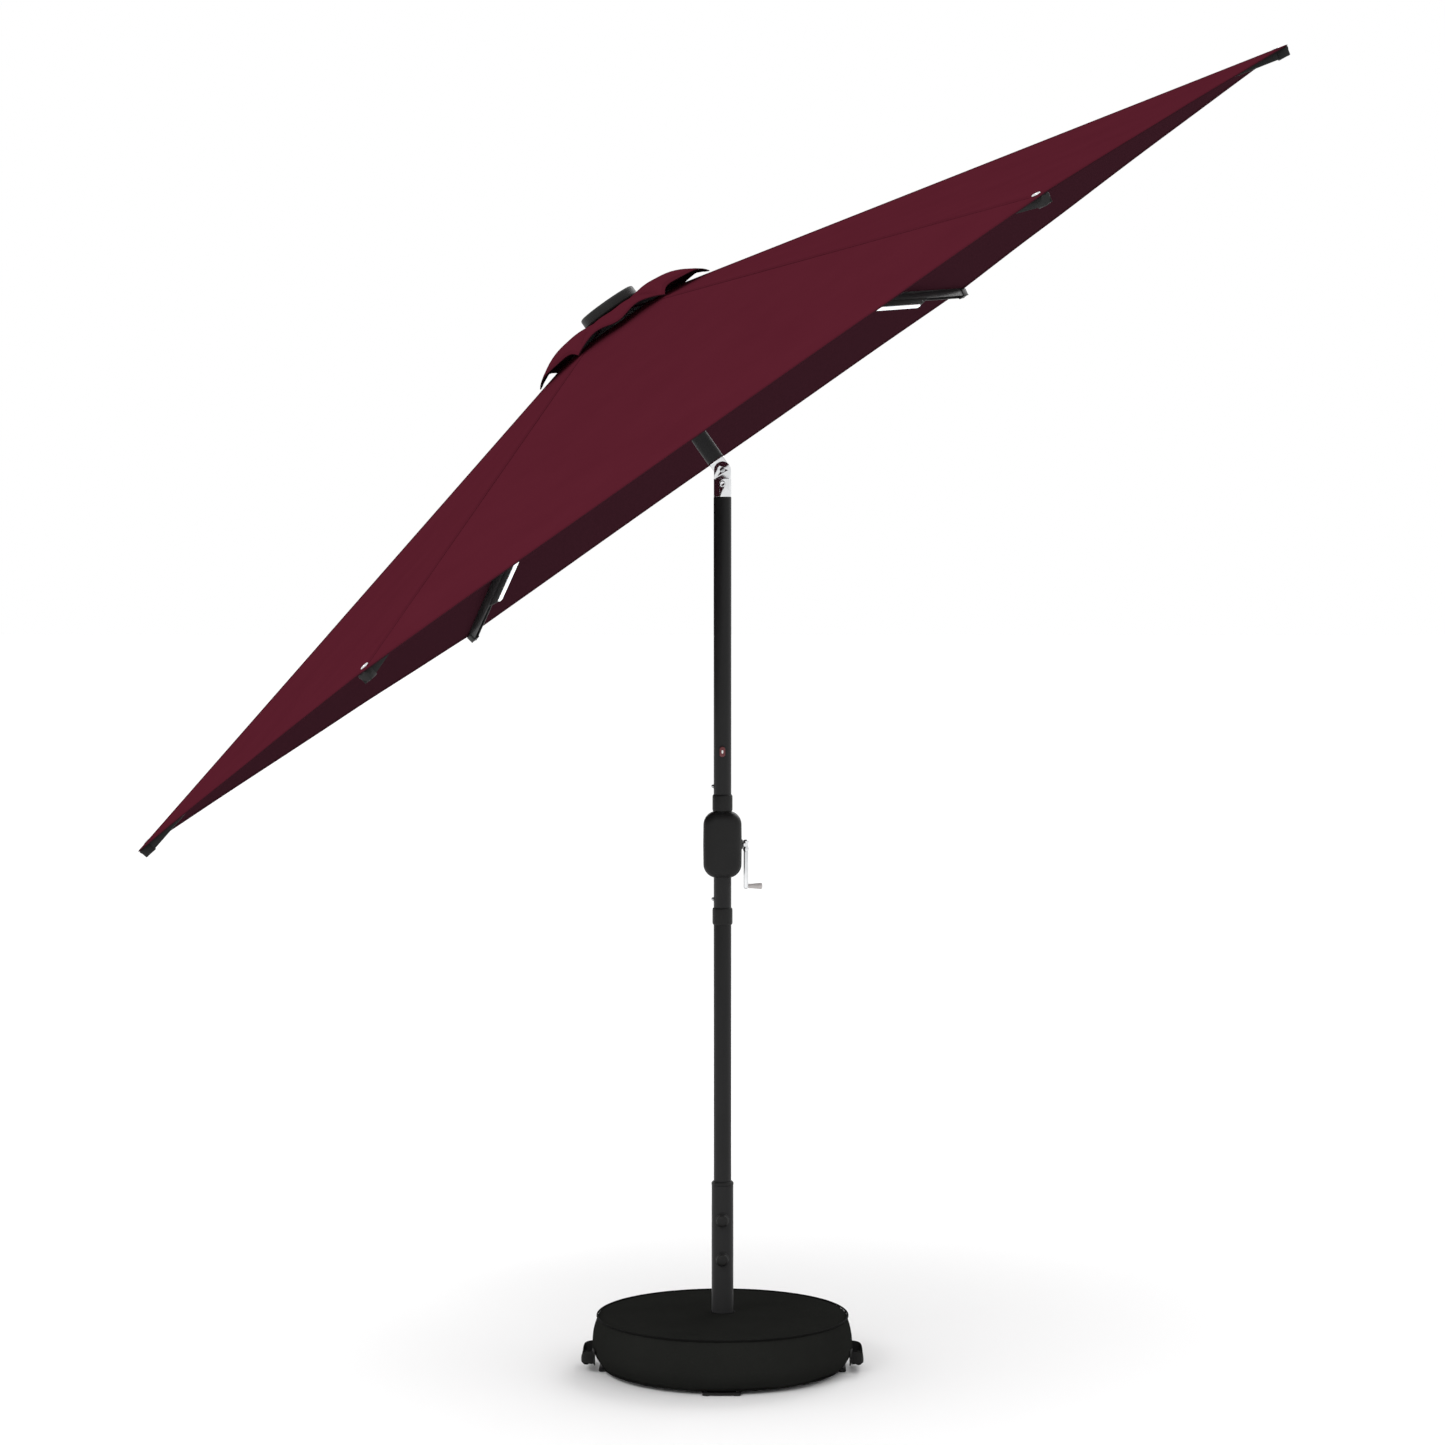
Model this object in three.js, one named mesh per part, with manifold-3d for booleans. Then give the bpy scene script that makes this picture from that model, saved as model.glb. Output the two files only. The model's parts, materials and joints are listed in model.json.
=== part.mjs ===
// Crank-and-tilt patio umbrella with solar light bars, standing in a cross base held down by a round bag.
// Millimetres, +Z up. Origin: on the ground, on the pole's axis. The canopy leans towards -X.
import * as THREE from "three";
import { mergeVertices } from "three/addons/utils/BufferGeometryUtils.js";
import Module from "manifold-3d";

const wasm = await Module();
wasm.setup();

// ---------- driving dimensions ----------
const GAP = 0.3; // between pieces that touch
const SLACK = 1.2; // side room where a lug turns between cheeks

// base
const barLength = 500;
const barWidth = 60;
const barThick = 6;
const tubeRoom = 2.5; // socket tube's bore clears the pole by this
const tubeWall = 2;
const tubeTop = 400;
const bushFlange = 8;
const bushDepth = 50;
const knobRadius = 15;
const knobLow = 242;
const knobPitch = 85;
const bagRadius = 276;
const bagTopRadius = 270;
const bagFootRadius = 258;
const bagHeight = 120;
const handleReach = 25;
const handleSpan = 116;
const handleThick = 20;
const handleRise = 44; // sewn ends above the bag's foot
const handleClear = 14; // grip above the ground
const padRadius = 8.5;
const padSpread = 64;

// pole
const poleRadius = 19;
const poleWall = 1.5;
const lowerSeam = 982;
const upperSeam = 1225;
const collarLength = 36;
const collarWall = 2.4;
const spigotLength = 62;
const snapHeight = 37; // snap button above its seam
const snapRadius = 3.5;
const snapProud = 5;
const switchHeight = 1337;
const switchWidth = 12;
const switchTall = 22;

// crank
const crankHeight = 1137;
const housingWidth = 83;
const housingTall = 142;
const housingDeep = 66;
const housingCorner = 28;
const housingWall = 3;
const drumRadius = 11;
const drumFlange = 15;
const drumWidth = 28;
const crankReach = 90;
const gripLength = 30;
const gripRadius = 6.8;

// tilt joint
const pivotHeight = 1940;
const tilt = THREE.MathUtils.degToRad(35);
const clevisDrop = 58; // pivot down to the pole's end
const knuckleRise = 26; // pivot up to the mast's end
const cheekRadius = 18;
const tongueWidth = 18;
const tiltPinRadius = 4;
const tiltButtonDrop = 30;
const tiltButtonRadius = 6.5;

// mast and crown, heights above the tilt pivot along the mast
const hemHeight = 50;
const canopyRadius = 1500;
const canopyRise = 362;
const hemDip = 9;
const fabricThick = 1.2;
const ventOpening = 150; // main canopy's inner edge, at the ribs
const ventRadius = 221;
const ventRim = 373;
const ventShoulder = 408.5;
const ventTop = 409.8;
const foldRoom = 22; // hem left free beside each panel, for the fold
const ribCount = 6;
const ribHeight = 20;
const ribWidth = 15;
const ribWall = 1.4;
const ribShort = 6; // rib ends this far inside the fabric's tip
const hingeRadius = 30;
const crownRadius = 46;
const strutReach = 600; // crown hinge to the strut's pin, along the rib
const strutPinDrop = 5;
const strutHeight = 12;
const runnerDrop = 200; // crown hinge down to the runner's pivots
const runnerPivotRadius = 36;
const runnerLength = 60;
const runnerRadius = 43;
const barInset = 228; // rib's end to the light bar's end
const lightLength = 560;
const lightHeight = 16;
const capRadius = 67;
const capHeight = 23;
const capBottom = 410.5;
const panelRadius = 56;
const panelThick = 2;

// ---------- materials ----------
const finish = (color, roughness, metalness) => () =>
  new THREE.MeshStandardMaterial({ color, roughness, metalness });
const powderCoat = finish(0x262626, 0.45, 0.3);
const blackPlastic = finish(0x1f1f1f, 0.5, 0);
const chrome = finish(0xd0d2d2, 0.12, 1);
const steel = finish(0x9a9c9e, 0.35, 1);
const burgundy = finish(0x5a202a, 0.85, 0);
const bagCloth = finish(0x1b1c1a, 0.8, 0);
const whiteGrip = finish(0xd8d4d2, 0.4, 0);
const redPlastic = finish(0xb02025, 0.4, 0);
const solarGlass = finish(0x10141c, 0.15, 0.2);

// ---------- making solids ----------
function weld(geometry) {
  const bare = geometry.clone();
  bare.deleteAttribute("normal");
  bare.deleteAttribute("uv");
  const merged = mergeVertices(bare, 1e-4);
  const index = merged.index.array;
  const kept = [];
  for (let i = 0; i < index.length; i += 3) {
    const [a, b, c] = [index[i], index[i + 1], index[i + 2]];
    if (a !== b && b !== c && c !== a) kept.push(a, b, c);
  }
  merged.setIndex(kept);
  return merged;
}

function solid(geometry) {
  const merged = weld(geometry);
  const vertProperties = new Float32Array(merged.attributes.position.array);
  const triVerts = new Uint32Array(merged.index.array);
  return new wasm.Manifold(new wasm.Mesh({ numProp: 3, vertProperties, triVerts }));
}

function geometryOf(body) {
  const mesh = body.getMesh();
  const geometry = new THREE.BufferGeometry();
  geometry.setAttribute("position", new THREE.BufferAttribute(new Float32Array(mesh.vertProperties), 3));
  geometry.setIndex(new THREE.BufferAttribute(new Uint32Array(mesh.triVerts), 1));
  return geometry;
}

function cutAll(body, tools) {
  return tools.reduce((left, tool) => left.subtract(tool), body);
}

function joinAll(bodies) {
  return bodies.reduce((sum, body) => sum.add(body));
}

// a round bar along "x", "y" or "z" from one end to the other, its axis through the point at
function rod(axis, radius, from, to, at = [0, 0, 0], sides = 12) {
  const geometry = new THREE.CylinderGeometry(radius, radius, to - from, sides);
  geometry.translate(0, (from + to) / 2, 0);
  if (axis === "z") geometry.rotateX(Math.PI / 2);
  if (axis === "x") geometry.rotateZ(-Math.PI / 2);
  geometry.translate(...at);
  return geometry;
}

function block(low, high) {
  const size = high.map((value, i) => value - low[i]);
  const geometry = new THREE.BoxGeometry(...size);
  return geometry.translate(...high.map((value, i) => (value + low[i]) / 2));
}

// a profile of [radius, height] points, run upwards on the outside, turned about Z
function turned(profile, sides = 24) {
  const points = profile.map(([r, z]) => new THREE.Vector2(r, z));
  const geometry = new THREE.LatheGeometry(points, sides);
  return weld(geometry.rotateX(Math.PI / 2));
}

function ring(inner, outer, bottom, top, sides = 24) {
  return turned([[inner, bottom], [outer, bottom], [outer, top], [inner, top], [inner, bottom]], sides);
}

// an outline in the XZ plane, thickened along Y from one side to the other
function slab(outline, from, to, curveSegments = 6) {
  const settings = { depth: to - from, bevelEnabled: false, curveSegments };
  const geometry = new THREE.ExtrudeGeometry(outline, settings);
  return geometry.rotateX(Math.PI / 2).translate(0, to, 0);
}

function roundedRectangle(width, height, radius) {
  const [x, y] = [width / 2, height / 2];
  const shape = new THREE.Shape();
  shape.moveTo(-x + radius, -y);
  shape.lineTo(x - radius, -y);
  shape.absarc(x - radius, -y + radius, radius, -Math.PI / 2, 0);
  shape.lineTo(x, y - radius);
  shape.absarc(x - radius, y - radius, radius, 0, Math.PI / 2);
  shape.lineTo(-x + radius, y);
  shape.absarc(-x + radius, y - radius, radius, Math.PI / 2, Math.PI);
  shape.lineTo(-x, -y + radius);
  shape.absarc(-x + radius, -y + radius, radius, Math.PI, Math.PI * 1.5);
  return shape;
}

// a box divided into cells and bent: place(u, v, w) gives each point, u and w from 0 to 1, v from -1 to 1
function bentSheet(cellsU, cellsV, place) {
  const geometry = new THREE.BoxGeometry(1, 2, 1, cellsU, cellsV, 1).translate(0.5, 0, 0.5);
  const position = geometry.attributes.position;
  for (let i = 0; i < position.count; i += 1) {
    position.setXYZ(i, ...place(position.getX(i), position.getY(i), position.getZ(i)));
  }
  return weld(geometry);
}

const umbrella = new THREE.Group();

function part(parent, name, shape, material) {
  const geometry = shape.isBufferGeometry ? shape : geometryOf(shape);
  geometry.computeVertexNormals();
  const mesh = new THREE.Mesh(geometry, material());
  mesh.name = name;
  parent.add(mesh);
  return mesh;
}

// ---------- base: flat cross, foot caps, socket tube, bag ----------
const barHalf = barLength / 2;
const halfWidth = barWidth / 2;
const barX = solid(block([-barHalf, -halfWidth, 0], [barHalf, halfWidth, barThick]));
const barY = solid(block([-halfWidth, -barHalf, 0], [halfWidth, barHalf, barThick]));
part(umbrella, "base_cross", barX.add(barY), powderCoat);

// each arm's end wears a rubber cap that stands on two round pads
const capDeep = padRadius * 2 - 1;
const capWidth = padSpread + padRadius * 2;
["right", "back", "left", "front"].forEach((side, k) => {
  const from = barHalf + GAP;
  const middle = from + capDeep / 2;
  const body = solid(block([from, -capWidth / 2, 2], [from + capDeep, capWidth / 2, barThick]));
  const pads = [-1, 1].map((s) => solid(rod("z", padRadius - 1, 0, 3, [middle, (s * padSpread) / 2, 0], 14)));
  const cap = part(umbrella, `foot_${side}`, joinAll([body, ...pads]), blackPlastic);
  cap.rotation.z = (k * Math.PI) / 2;
});

const tubeFoot = barThick + GAP;
const tubeInner = poleRadius + tubeRoom;
const tubeRadius = tubeInner + tubeWall;
const flangeRadius = 60;
const flangeThick = 4;
const knobHeights = { knob_lower: knobLow, knob_upper: knobLow + knobPitch };
const studRadius = 4;
const tube = turned([
  [tubeInner, tubeFoot],
  [flangeRadius, tubeFoot],
  [flangeRadius, tubeFoot + flangeThick],
  [tubeRadius, tubeFoot + flangeThick],
  [tubeRadius, tubeTop],
  [tubeInner, tubeTop],
  [tubeInner, tubeFoot],
]);
const bosses = Object.values(knobHeights).map((z) =>
  solid(rod("y", studRadius + 4, -tubeRadius - 3, -tubeInner - 0.5, [0, 0, z])));
const studHoles = Object.values(knobHeights).map((z) =>
  solid(rod("y", studRadius + GAP + 0.1, -tubeRadius - 10, -tubeInner + 8, [0, 0, z])));
part(umbrella, "base_tube", cutAll(joinAll([solid(tube), ...bosses]), studHoles), powderCoat);

// the clamp knobs screw through the bosses and stop just short of the pole
for (const [name, z] of Object.entries(knobHeights)) {
  const headFrom = -tubeRadius - 3 - GAP;
  const stud = solid(rod("y", studRadius, headFrom - 2, -poleRadius - GAP, [0, 0, z]));
  const skirt = solid(rod("y", knobRadius, headFrom - 5, headFrom, [0, 0, z], 16));
  const head = solid(rod("y", knobRadius - 2.5, headFrom - 14, headFrom, [0, 0, z], 16));
  part(umbrella, name, joinAll([stud, skirt, head]), blackPlastic);
}

// a plastic bush lines the tube's mouth
const bush = turned([
  [poleRadius + GAP, tubeTop - bushDepth],
  [tubeInner - GAP, tubeTop - bushDepth],
  [tubeInner - GAP, tubeTop + GAP],
  [tubeRadius + 0.5, tubeTop + GAP],
  [tubeRadius + 0.5, tubeTop + bushFlange],
  [poleRadius + GAP, tubeTop + bushFlange],
  [poleRadius + GAP, tubeTop - bushDepth],
]);
part(umbrella, "tube_collar", bush, blackPlastic);

// the bag is a filled ring round the tube, widest a little below its middle
const bagFoot = barThick + GAP;
const bagTop = bagFoot + bagHeight;
const bagBore = tubeRadius + 1;
const recess = flangeRadius + 2;
const recessTop = tubeFoot + flangeThick + 2;
function bagSide(height) {
  // radius of the bag's side at a share of its height
  const share = (height - bagFoot) / bagHeight;
  const straight = bagFootRadius + (bagTopRadius - bagFootRadius) * share;
  const bulge = bagRadius - (bagFootRadius + bagTopRadius) / 2;
  return straight + bulge * Math.sin(Math.PI * share);
}
const sideSteps = 7;
const bagProfile = [[recess, recessTop], [recess, bagFoot]];
for (let i = 0; i <= sideSteps; i += 1) {
  const z = bagFoot + (bagHeight * 0.93 * i) / sideSteps;
  bagProfile.push([bagSide(z), z]);
}
bagProfile.push([bagTopRadius - 30, bagTop], [bagBore, bagTop], [bagBore, recessTop], [recess, recessTop]);
part(umbrella, "weight_bag", turned(bagProfile, 28), bagCloth);

// carrying handles hang off the bag's sides, their grips just clear of the ground
const handleTop = bagFoot + handleRise;
const gripDrop = handleThick / 2 + handleClear;
for (const [name, side] of [["bag_handle_right", 0], ["bag_handle_left", Math.PI]]) {
  const half = handleSpan / 2;
  const anchor = Math.sqrt(bagRadius ** 2 - half ** 2) + handleThick / 2 + GAP;
  const reach = bagRadius + handleReach - handleThick / 2;
  const path = new THREE.CatmullRomCurve3([
    new THREE.Vector3(anchor, -half, handleTop),
    new THREE.Vector3(anchor + 2, -half, handleTop - 12),
    new THREE.Vector3(reach, -half + 8, gripDrop + 6),
    new THREE.Vector3(reach, -half + 26, gripDrop),
    new THREE.Vector3(reach, half - 26, gripDrop),
    new THREE.Vector3(reach, half - 8, gripDrop + 6),
    new THREE.Vector3(anchor + 2, half, handleTop - 12),
    new THREE.Vector3(anchor, half, handleTop),
  ], false, "centripetal");
  const section = new THREE.Shape();
  section.absarc(0, 0, handleThick / 2, 0, Math.PI * 2);
  const settings = { extrudePath: path, steps: 16, curveSegments: 4, bevelEnabled: false };
  const handle = part(umbrella, name, weld(new THREE.ExtrudeGeometry(section, settings)), bagCloth);
  handle.rotation.z = side;
}

// ---------- pole: three tubes, each with a spigot that enters the next ----------
const poleInner = poleRadius - poleWall;
const spigotOuter = poleInner - GAP;
const spigotInner = spigotOuter - poleWall;
const poleEnd = pivotHeight - clevisDrop;

function poleSection(bottom, seam) {
  return solid(turned([
    [poleInner, bottom],
    [poleRadius, bottom],
    [poleRadius, seam],
    [spigotOuter, seam],
    [spigotOuter, seam + spigotLength],
    [spigotInner, seam + spigotLength],
    [spigotInner, seam - collarLength],
    [poleInner, seam - collarLength],
    [poleInner, bottom],
  ]));
}

function snapHole(seam) {
  return solid(rod("x", snapRadius + GAP, -poleRadius - 4, -spigotInner + 4, [0, 0, seam + snapHeight], 10));
}

const lowerPole = cutAll(poleSection(tubeFoot, lowerSeam), [snapHole(lowerSeam)]);
part(umbrella, "lower_pole", lowerPole, powderCoat);

const axleRadius = 4;
const windowHalf = drumFlange + 2;
const drumHalf = drumWidth / 2;
const window = solid(block([-drumHalf - 1, -poleRadius - 2, crankHeight - windowHalf],
  [drumHalf + 1, poleRadius + 2, crankHeight + windowHalf]));
const axleHole = solid(rod("x", axleRadius + GAP, -60, 60, [0, 0, crankHeight]));
const crankPole = cutAll(poleSection(lowerSeam + GAP, upperSeam),
  [snapHole(lowerSeam), snapHole(upperSeam), window, axleHole]);
part(umbrella, "crank_pole", crankPole, powderCoat);

const upperTube = solid(ring(poleInner, poleRadius, upperSeam + GAP, poleEnd));
const switchOutline = (grow) => roundedRectangle(switchWidth + grow, switchTall + grow, switchWidth / 2);
const switchHole = solid(slab(switchOutline(2 * GAP), -poleRadius - 3, -poleInner + 5)
  .translate(0, 0, switchHeight));
part(umbrella, "upper_pole", cutAll(upperTube, [snapHole(upperSeam), switchHole]), powderCoat);
const switchFace = -poleRadius - 2;
part(umbrella, "light_switch", weld(slab(switchOutline(0), switchFace, -poleInner + 3)
  .translate(0, 0, switchHeight)), redPlastic);

function collar(name, seam) {
  const wall = [[0, -1], [1, -0.86], [1, 0.86], [0, 1]];
  const profile = wall.map(([out, up]) =>
    [poleRadius + GAP + collarWall * (0.5 + out / 2), seam + (up * collarLength) / 2]);
  const bore = poleRadius + GAP;
  const closed = [[bore, profile[0][1]], ...profile, [bore, profile[3][1]], [bore, profile[0][1]]];
  part(umbrella, name, turned(closed), blackPlastic);
}
collar("lower_collar", lowerSeam);
collar("upper_collar", upperSeam + 1);

for (const [name, seam] of [["snap_button_lower", lowerSeam], ["snap_button_upper", upperSeam]]) {
  const z = seam + snapHeight;
  const button = solid(rod("x", snapRadius, -poleRadius - snapProud, -spigotInner + 3, [0, 0, z], 10));
  const head = solid(rod("x", snapRadius + 2, -spigotInner + 1.5, -spigotInner + 3, [0, 0, z], 10));
  part(umbrella, name, button.add(head), steel);
}

// ---------- crank: two-part housing, drum across the pole, arm and grip ----------
function housingBlock(inset, radius, bevel) {
  const settings = {
    depth: housingDeep - 2 * inset - 2 * bevel,
    bevelThickness: bevel,
    bevelSize: bevel,
    bevelOffset: -bevel,
    bevelSegments: 2,
    curveSegments: 3,
  };
  const outline = roundedRectangle(housingWidth - 2 * inset, housingTall - 2 * inset, radius);
  const geometry = new THREE.ExtrudeGeometry(outline, settings);
  const back = housingDeep / 2 - inset - bevel;
  return solid(geometry.rotateX(Math.PI / 2).translate(0, back, crankHeight));
}
const housingBevel = 14;
const poleBore = solid(rod("z", poleRadius + GAP, crankHeight - housingTall, crankHeight + housingTall, [0, 0, 0], 24));
const shell = cutAll(housingBlock(0, housingCorner, housingBevel), [
  housingBlock(housingWall, housingCorner - housingWall, housingBevel - housingWall),
  poleBore,
  axleHole,
]);
for (const [name, side] of [["housing_front", -1], ["housing_rear", 1]]) {
  const [from, to] = side < 0 ? [-100, -GAP / 2] : [GAP / 2, 100];
  const half = solid(block([-100, from, crankHeight - 150], [100, to, crankHeight + 150]));
  part(umbrella, name, shell.intersect(half), blackPlastic);
}

const crankGroup = new THREE.Group();
crankGroup.position.z = crankHeight;
umbrella.add(crankGroup);
const housingSide = housingWidth / 2;
const armFrom = housingSide + 4;
const armThick = 10;
const axleEnd = armFrom - GAP;
part(crankGroup, "winding_drum", joinAll([
  solid(rod("x", axleRadius, -poleRadius - 8, axleEnd)),
  solid(rod("x", drumRadius, -drumHalf, drumHalf, [0, 0, 0], 14)),
  solid(rod("x", drumFlange, -drumHalf, -drumHalf + 2, [0, 0, 0], 14)),
  solid(rod("x", drumFlange, drumHalf - 2, drumHalf, [0, 0, 0], 14)),
]), steel);

const armOutline = new THREE.Shape();
armOutline.absarc(0, 0, 8, 0, Math.PI);
armOutline.absarc(0, -crankReach, 6, Math.PI, Math.PI * 2);
const armPlate = new THREE.ExtrudeGeometry(armOutline, { depth: armThick, bevelEnabled: false, curveSegments: 8 });
armPlate.rotateX(Math.PI / 2).rotateZ(Math.PI / 2).translate(armFrom, 0, 0);
const gripPin = 2.5;
const gripFrom = armFrom + armThick + GAP;
part(crankGroup, "crank_arm", joinAll([
  solid(armPlate),
  solid(rod("x", 8, armFrom + 1, armFrom + armThick + 1.5)),
  solid(rod("x", gripPin, armFrom + 1, gripFrom + gripLength - 6, [0, 0, -crankReach], 12)),
]), chrome);
const gripBore = gripPin + GAP;
const grip = turned([
  [gripBore, gripFrom],
  [gripRadius - 1.5, gripFrom],
  [gripRadius - 1, gripFrom + gripLength * 0.35],
  [gripRadius, gripFrom + gripLength * 0.8],
  [gripRadius - 1, gripFrom + gripLength],
  [0, gripFrom + gripLength],
  [0, gripFrom + gripLength - 4],
  [gripBore, gripFrom + gripLength - 4],
  [gripBore, gripFrom],
], 16).rotateY(Math.PI / 2);
part(crankGroup, "crank_grip", grip, whiteGrip).position.z = -crankReach;

// ---------- tilt joint, lower half: clevis on the pole, pin and push button ----------
const cheekOutline = new THREE.Shape();
const clevisFloor = cheekRadius + 1;
cheekOutline.moveTo(-cheekRadius, -clevisFloor - 1);
cheekOutline.lineTo(cheekRadius, -clevisFloor - 1);
cheekOutline.lineTo(cheekRadius, 0);
cheekOutline.absarc(0, 0, cheekRadius, 0, Math.PI);
cheekOutline.lineTo(-cheekRadius, -clevisFloor - 1);
const tongueHalf = tongueWidth / 2;
const cheekFrom = tongueHalf + GAP;
const cheekTo = Math.sqrt(poleRadius ** 2 - cheekRadius ** 2) + 6;
const pinHole = solid(rod("y", tiltPinRadius + 0.2, -40, 40));
const buttonHole = solid(rod("y", tiltButtonRadius + GAP, -poleRadius - 5, -6, [0, 0, -tiltButtonDrop], 12));
const clevisGroup = new THREE.Group();
clevisGroup.position.z = pivotHeight;
umbrella.add(clevisGroup);
const sleeve = solid(turned([
  [0, -clevisDrop - 45],
  [poleInner - GAP, -clevisDrop - 45],
  [poleInner - GAP, -clevisDrop + GAP],
  [poleRadius - 0.4, -clevisDrop + GAP],
  [poleRadius - 0.4, -clevisFloor],
  [0, -clevisFloor],
]));
const cheeks = [[-cheekTo, -cheekFrom], [cheekFrom, cheekTo]].map(([a, b]) => solid(slab(cheekOutline, a, b)));
part(clevisGroup, "tilt_clevis", cutAll(joinAll([sleeve, ...cheeks]), [pinHole, buttonHole]), chrome);
part(clevisGroup, "tilt_pin", rod("y", tiltPinRadius, -cheekTo - 1, cheekTo + 1), steel);
const buttonPress = 3;
part(clevisGroup, "tilt_button",
  rod("y", tiltButtonRadius, -poleRadius - 2.5, -6 - buttonPress - GAP, [0, 0, -tiltButtonDrop], 12), chrome);

// ---------- mast: everything above the pivot leans with this group ----------
const mast = new THREE.Group();
mast.position.z = pivotHeight;
mast.rotation.y = -tilt;
umbrella.add(mast);

const tongueOutline = new THREE.Shape();
const tongueRadius = cheekRadius - 1;
const plugFrom = cheekRadius + 3;
tongueOutline.moveTo(tongueRadius, plugFrom + 1);
tongueOutline.lineTo(-tongueRadius, plugFrom + 1);
tongueOutline.lineTo(-tongueRadius, 0);
tongueOutline.absarc(0, 0, tongueRadius, Math.PI, Math.PI * 2);
tongueOutline.lineTo(tongueRadius, plugFrom + 1);
const plug = solid(turned([
  [0, plugFrom],
  [poleRadius - 0.4, plugFrom],
  [poleRadius - 0.4, knuckleRise - GAP],
  [poleInner - GAP, knuckleRise - GAP],
  [poleInner - GAP, knuckleRise + 45],
  [0, knuckleRise + 45],
]));
const tongue = solid(slab(tongueOutline, -tongueHalf, tongueHalf));
part(mast, "tilt_knuckle", plug.add(tongue).subtract(pinHole), chrome);

const slope = Math.atan2(canopyRise, canopyRadius);
const apexHeight = hemHeight + canopyRise;
const sector = Math.PI / ribCount;
const hemDistance = canopyRadius * Math.cos(sector);
const clothFall = (canopyRise / hemDistance) * Math.sin(sector); // drop beside a rib for each mm sideways
const coverDepth = (ribHeight / 2 + GAP) / Math.cos(slope) + fabricThick + (clothFall * ribWidth) / 2;
const hingeHeight = apexHeight - hingeRadius * Math.tan(slope) - coverDepth;
const crownBottom = hingeHeight - 11;
const crownTop = hingeHeight + ribHeight / 2 + 1.5;
part(mast, "mast_tube", ring(poleInner, poleRadius, knuckleRise, crownBottom - GAP), powderCoat);

const pinRadius = 2.8;
const lugWidth = ribWidth - 2 * ribWall - 0.8;
const lugRadius = 7;
const stubHalf = lugWidth / 2 + 3;

// radial slots and their cross holes for the hinged ends of ribs or struts
function slots(inner, outer, width, bottom, top, pinAt, pinHeight, pinSpan) {
  const tools = [];
  for (let k = 0; k < ribCount; k += 1) {
    const angle = (k * 2 * Math.PI) / ribCount;
    tools.push(solid(block([inner, -width / 2, bottom], [outer + 2, width / 2, top]).rotateZ(angle)));
    tools.push(solid(rod("y", pinRadius + GAP, -pinSpan, pinSpan, [pinAt, 0, pinHeight], 8).rotateZ(angle)));
  }
  return tools;
}

const stemRadius = 8;
const crownBody = turned([
  [0, crownBottom - 45],
  [poleInner - GAP, crownBottom - 45],
  [poleInner - GAP, crownBottom],
  [crownRadius, crownBottom],
  [crownRadius, crownTop - 4],
  [crownRadius - 4, crownTop],
  [0, crownTop],
]);
const stemHole = solid(rod("z", stemRadius + GAP, crownTop - 15, crownTop + 5));
const slotFrom = hingeRadius - lugRadius - 1;
part(mast, "crown_hub", cutAll(solid(crownBody), [
  ...slots(slotFrom, crownRadius, lugWidth + SLACK, crownBottom - 1, hingeHeight + lugRadius + 1.5,
    hingeRadius, hingeHeight, stubHalf + GAP),
  stemHole,
]), blackPlastic);

const pulleyHeight = crownBottom - 60;
part(mast, "crown_pulley", joinAll([
  solid(rod("y", 2, -poleInner + GAP, poleInner - GAP, [0, 0, pulleyHeight], 8)),
  solid(rod("y", 8, -4, 4, [0, 0, pulleyHeight])),
]), steel);

const runnerHeight = hingeHeight - runnerDrop;
const strutWidth = lugWidth - 2;
const runnerHalf = runnerLength / 2;
const sleeveOuter = poleRadius + 5;
const runnerBody = turned([
  [poleRadius + GAP, runnerHeight - runnerHalf],
  [sleeveOuter, runnerHeight - runnerHalf],
  [sleeveOuter, runnerHeight - 8],
  [runnerRadius, runnerHeight - 8],
  [runnerRadius, runnerHeight + 8],
  [sleeveOuter, runnerHeight + 8],
  [sleeveOuter, runnerHeight + runnerHalf],
  [poleRadius + GAP, runnerHeight + runnerHalf],
  [poleRadius + GAP, runnerHeight - runnerHalf],
]);
const strutStub = strutWidth / 2 + 3;
part(mast, "runner", cutAll(solid(runnerBody), slots(runnerPivotRadius - strutHeight / 2 - 1, runnerRadius,
  strutWidth + SLACK, runnerHeight - 9, runnerHeight + 9, runnerPivotRadius, runnerHeight,
  strutStub + GAP)), blackPlastic);

// vent cap: a shallow six-sided cloth cone over the crown, open under its rim
const sixth = Math.PI / 3;
const ventHole = stemRadius + 4;
const shoulder = crownRadius + 8;
const ventLine = [[ventRadius, ventRim], [shoulder, ventShoulder], [ventHole, ventTop]];
const ventUnder = ventLine.map(([r, z]) => [r, z - fabricThick]).reverse();
const ventCloth = turned([...ventUnder, ...ventLine, ventUnder[0]], 24);
const ventPosition = ventCloth.attributes.position;
for (let i = 0; i < ventPosition.count; i += 1) {
  // straighten the round edge into six sides with their corners over the ribs
  const [x, y] = [ventPosition.getX(i), ventPosition.getY(i)];
  const angle = Math.atan2(y, x) + Math.PI;
  const within = (angle % sixth) - sixth / 2;
  const share = Math.hypot(x, y) > shoulder + 1 ? Math.cos(sixth / 2) / Math.cos(within) : 1;
  ventPosition.setXY(i, x * share, y * share);
}
part(mast, "vent_cap", ventCloth, burgundy);

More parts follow.
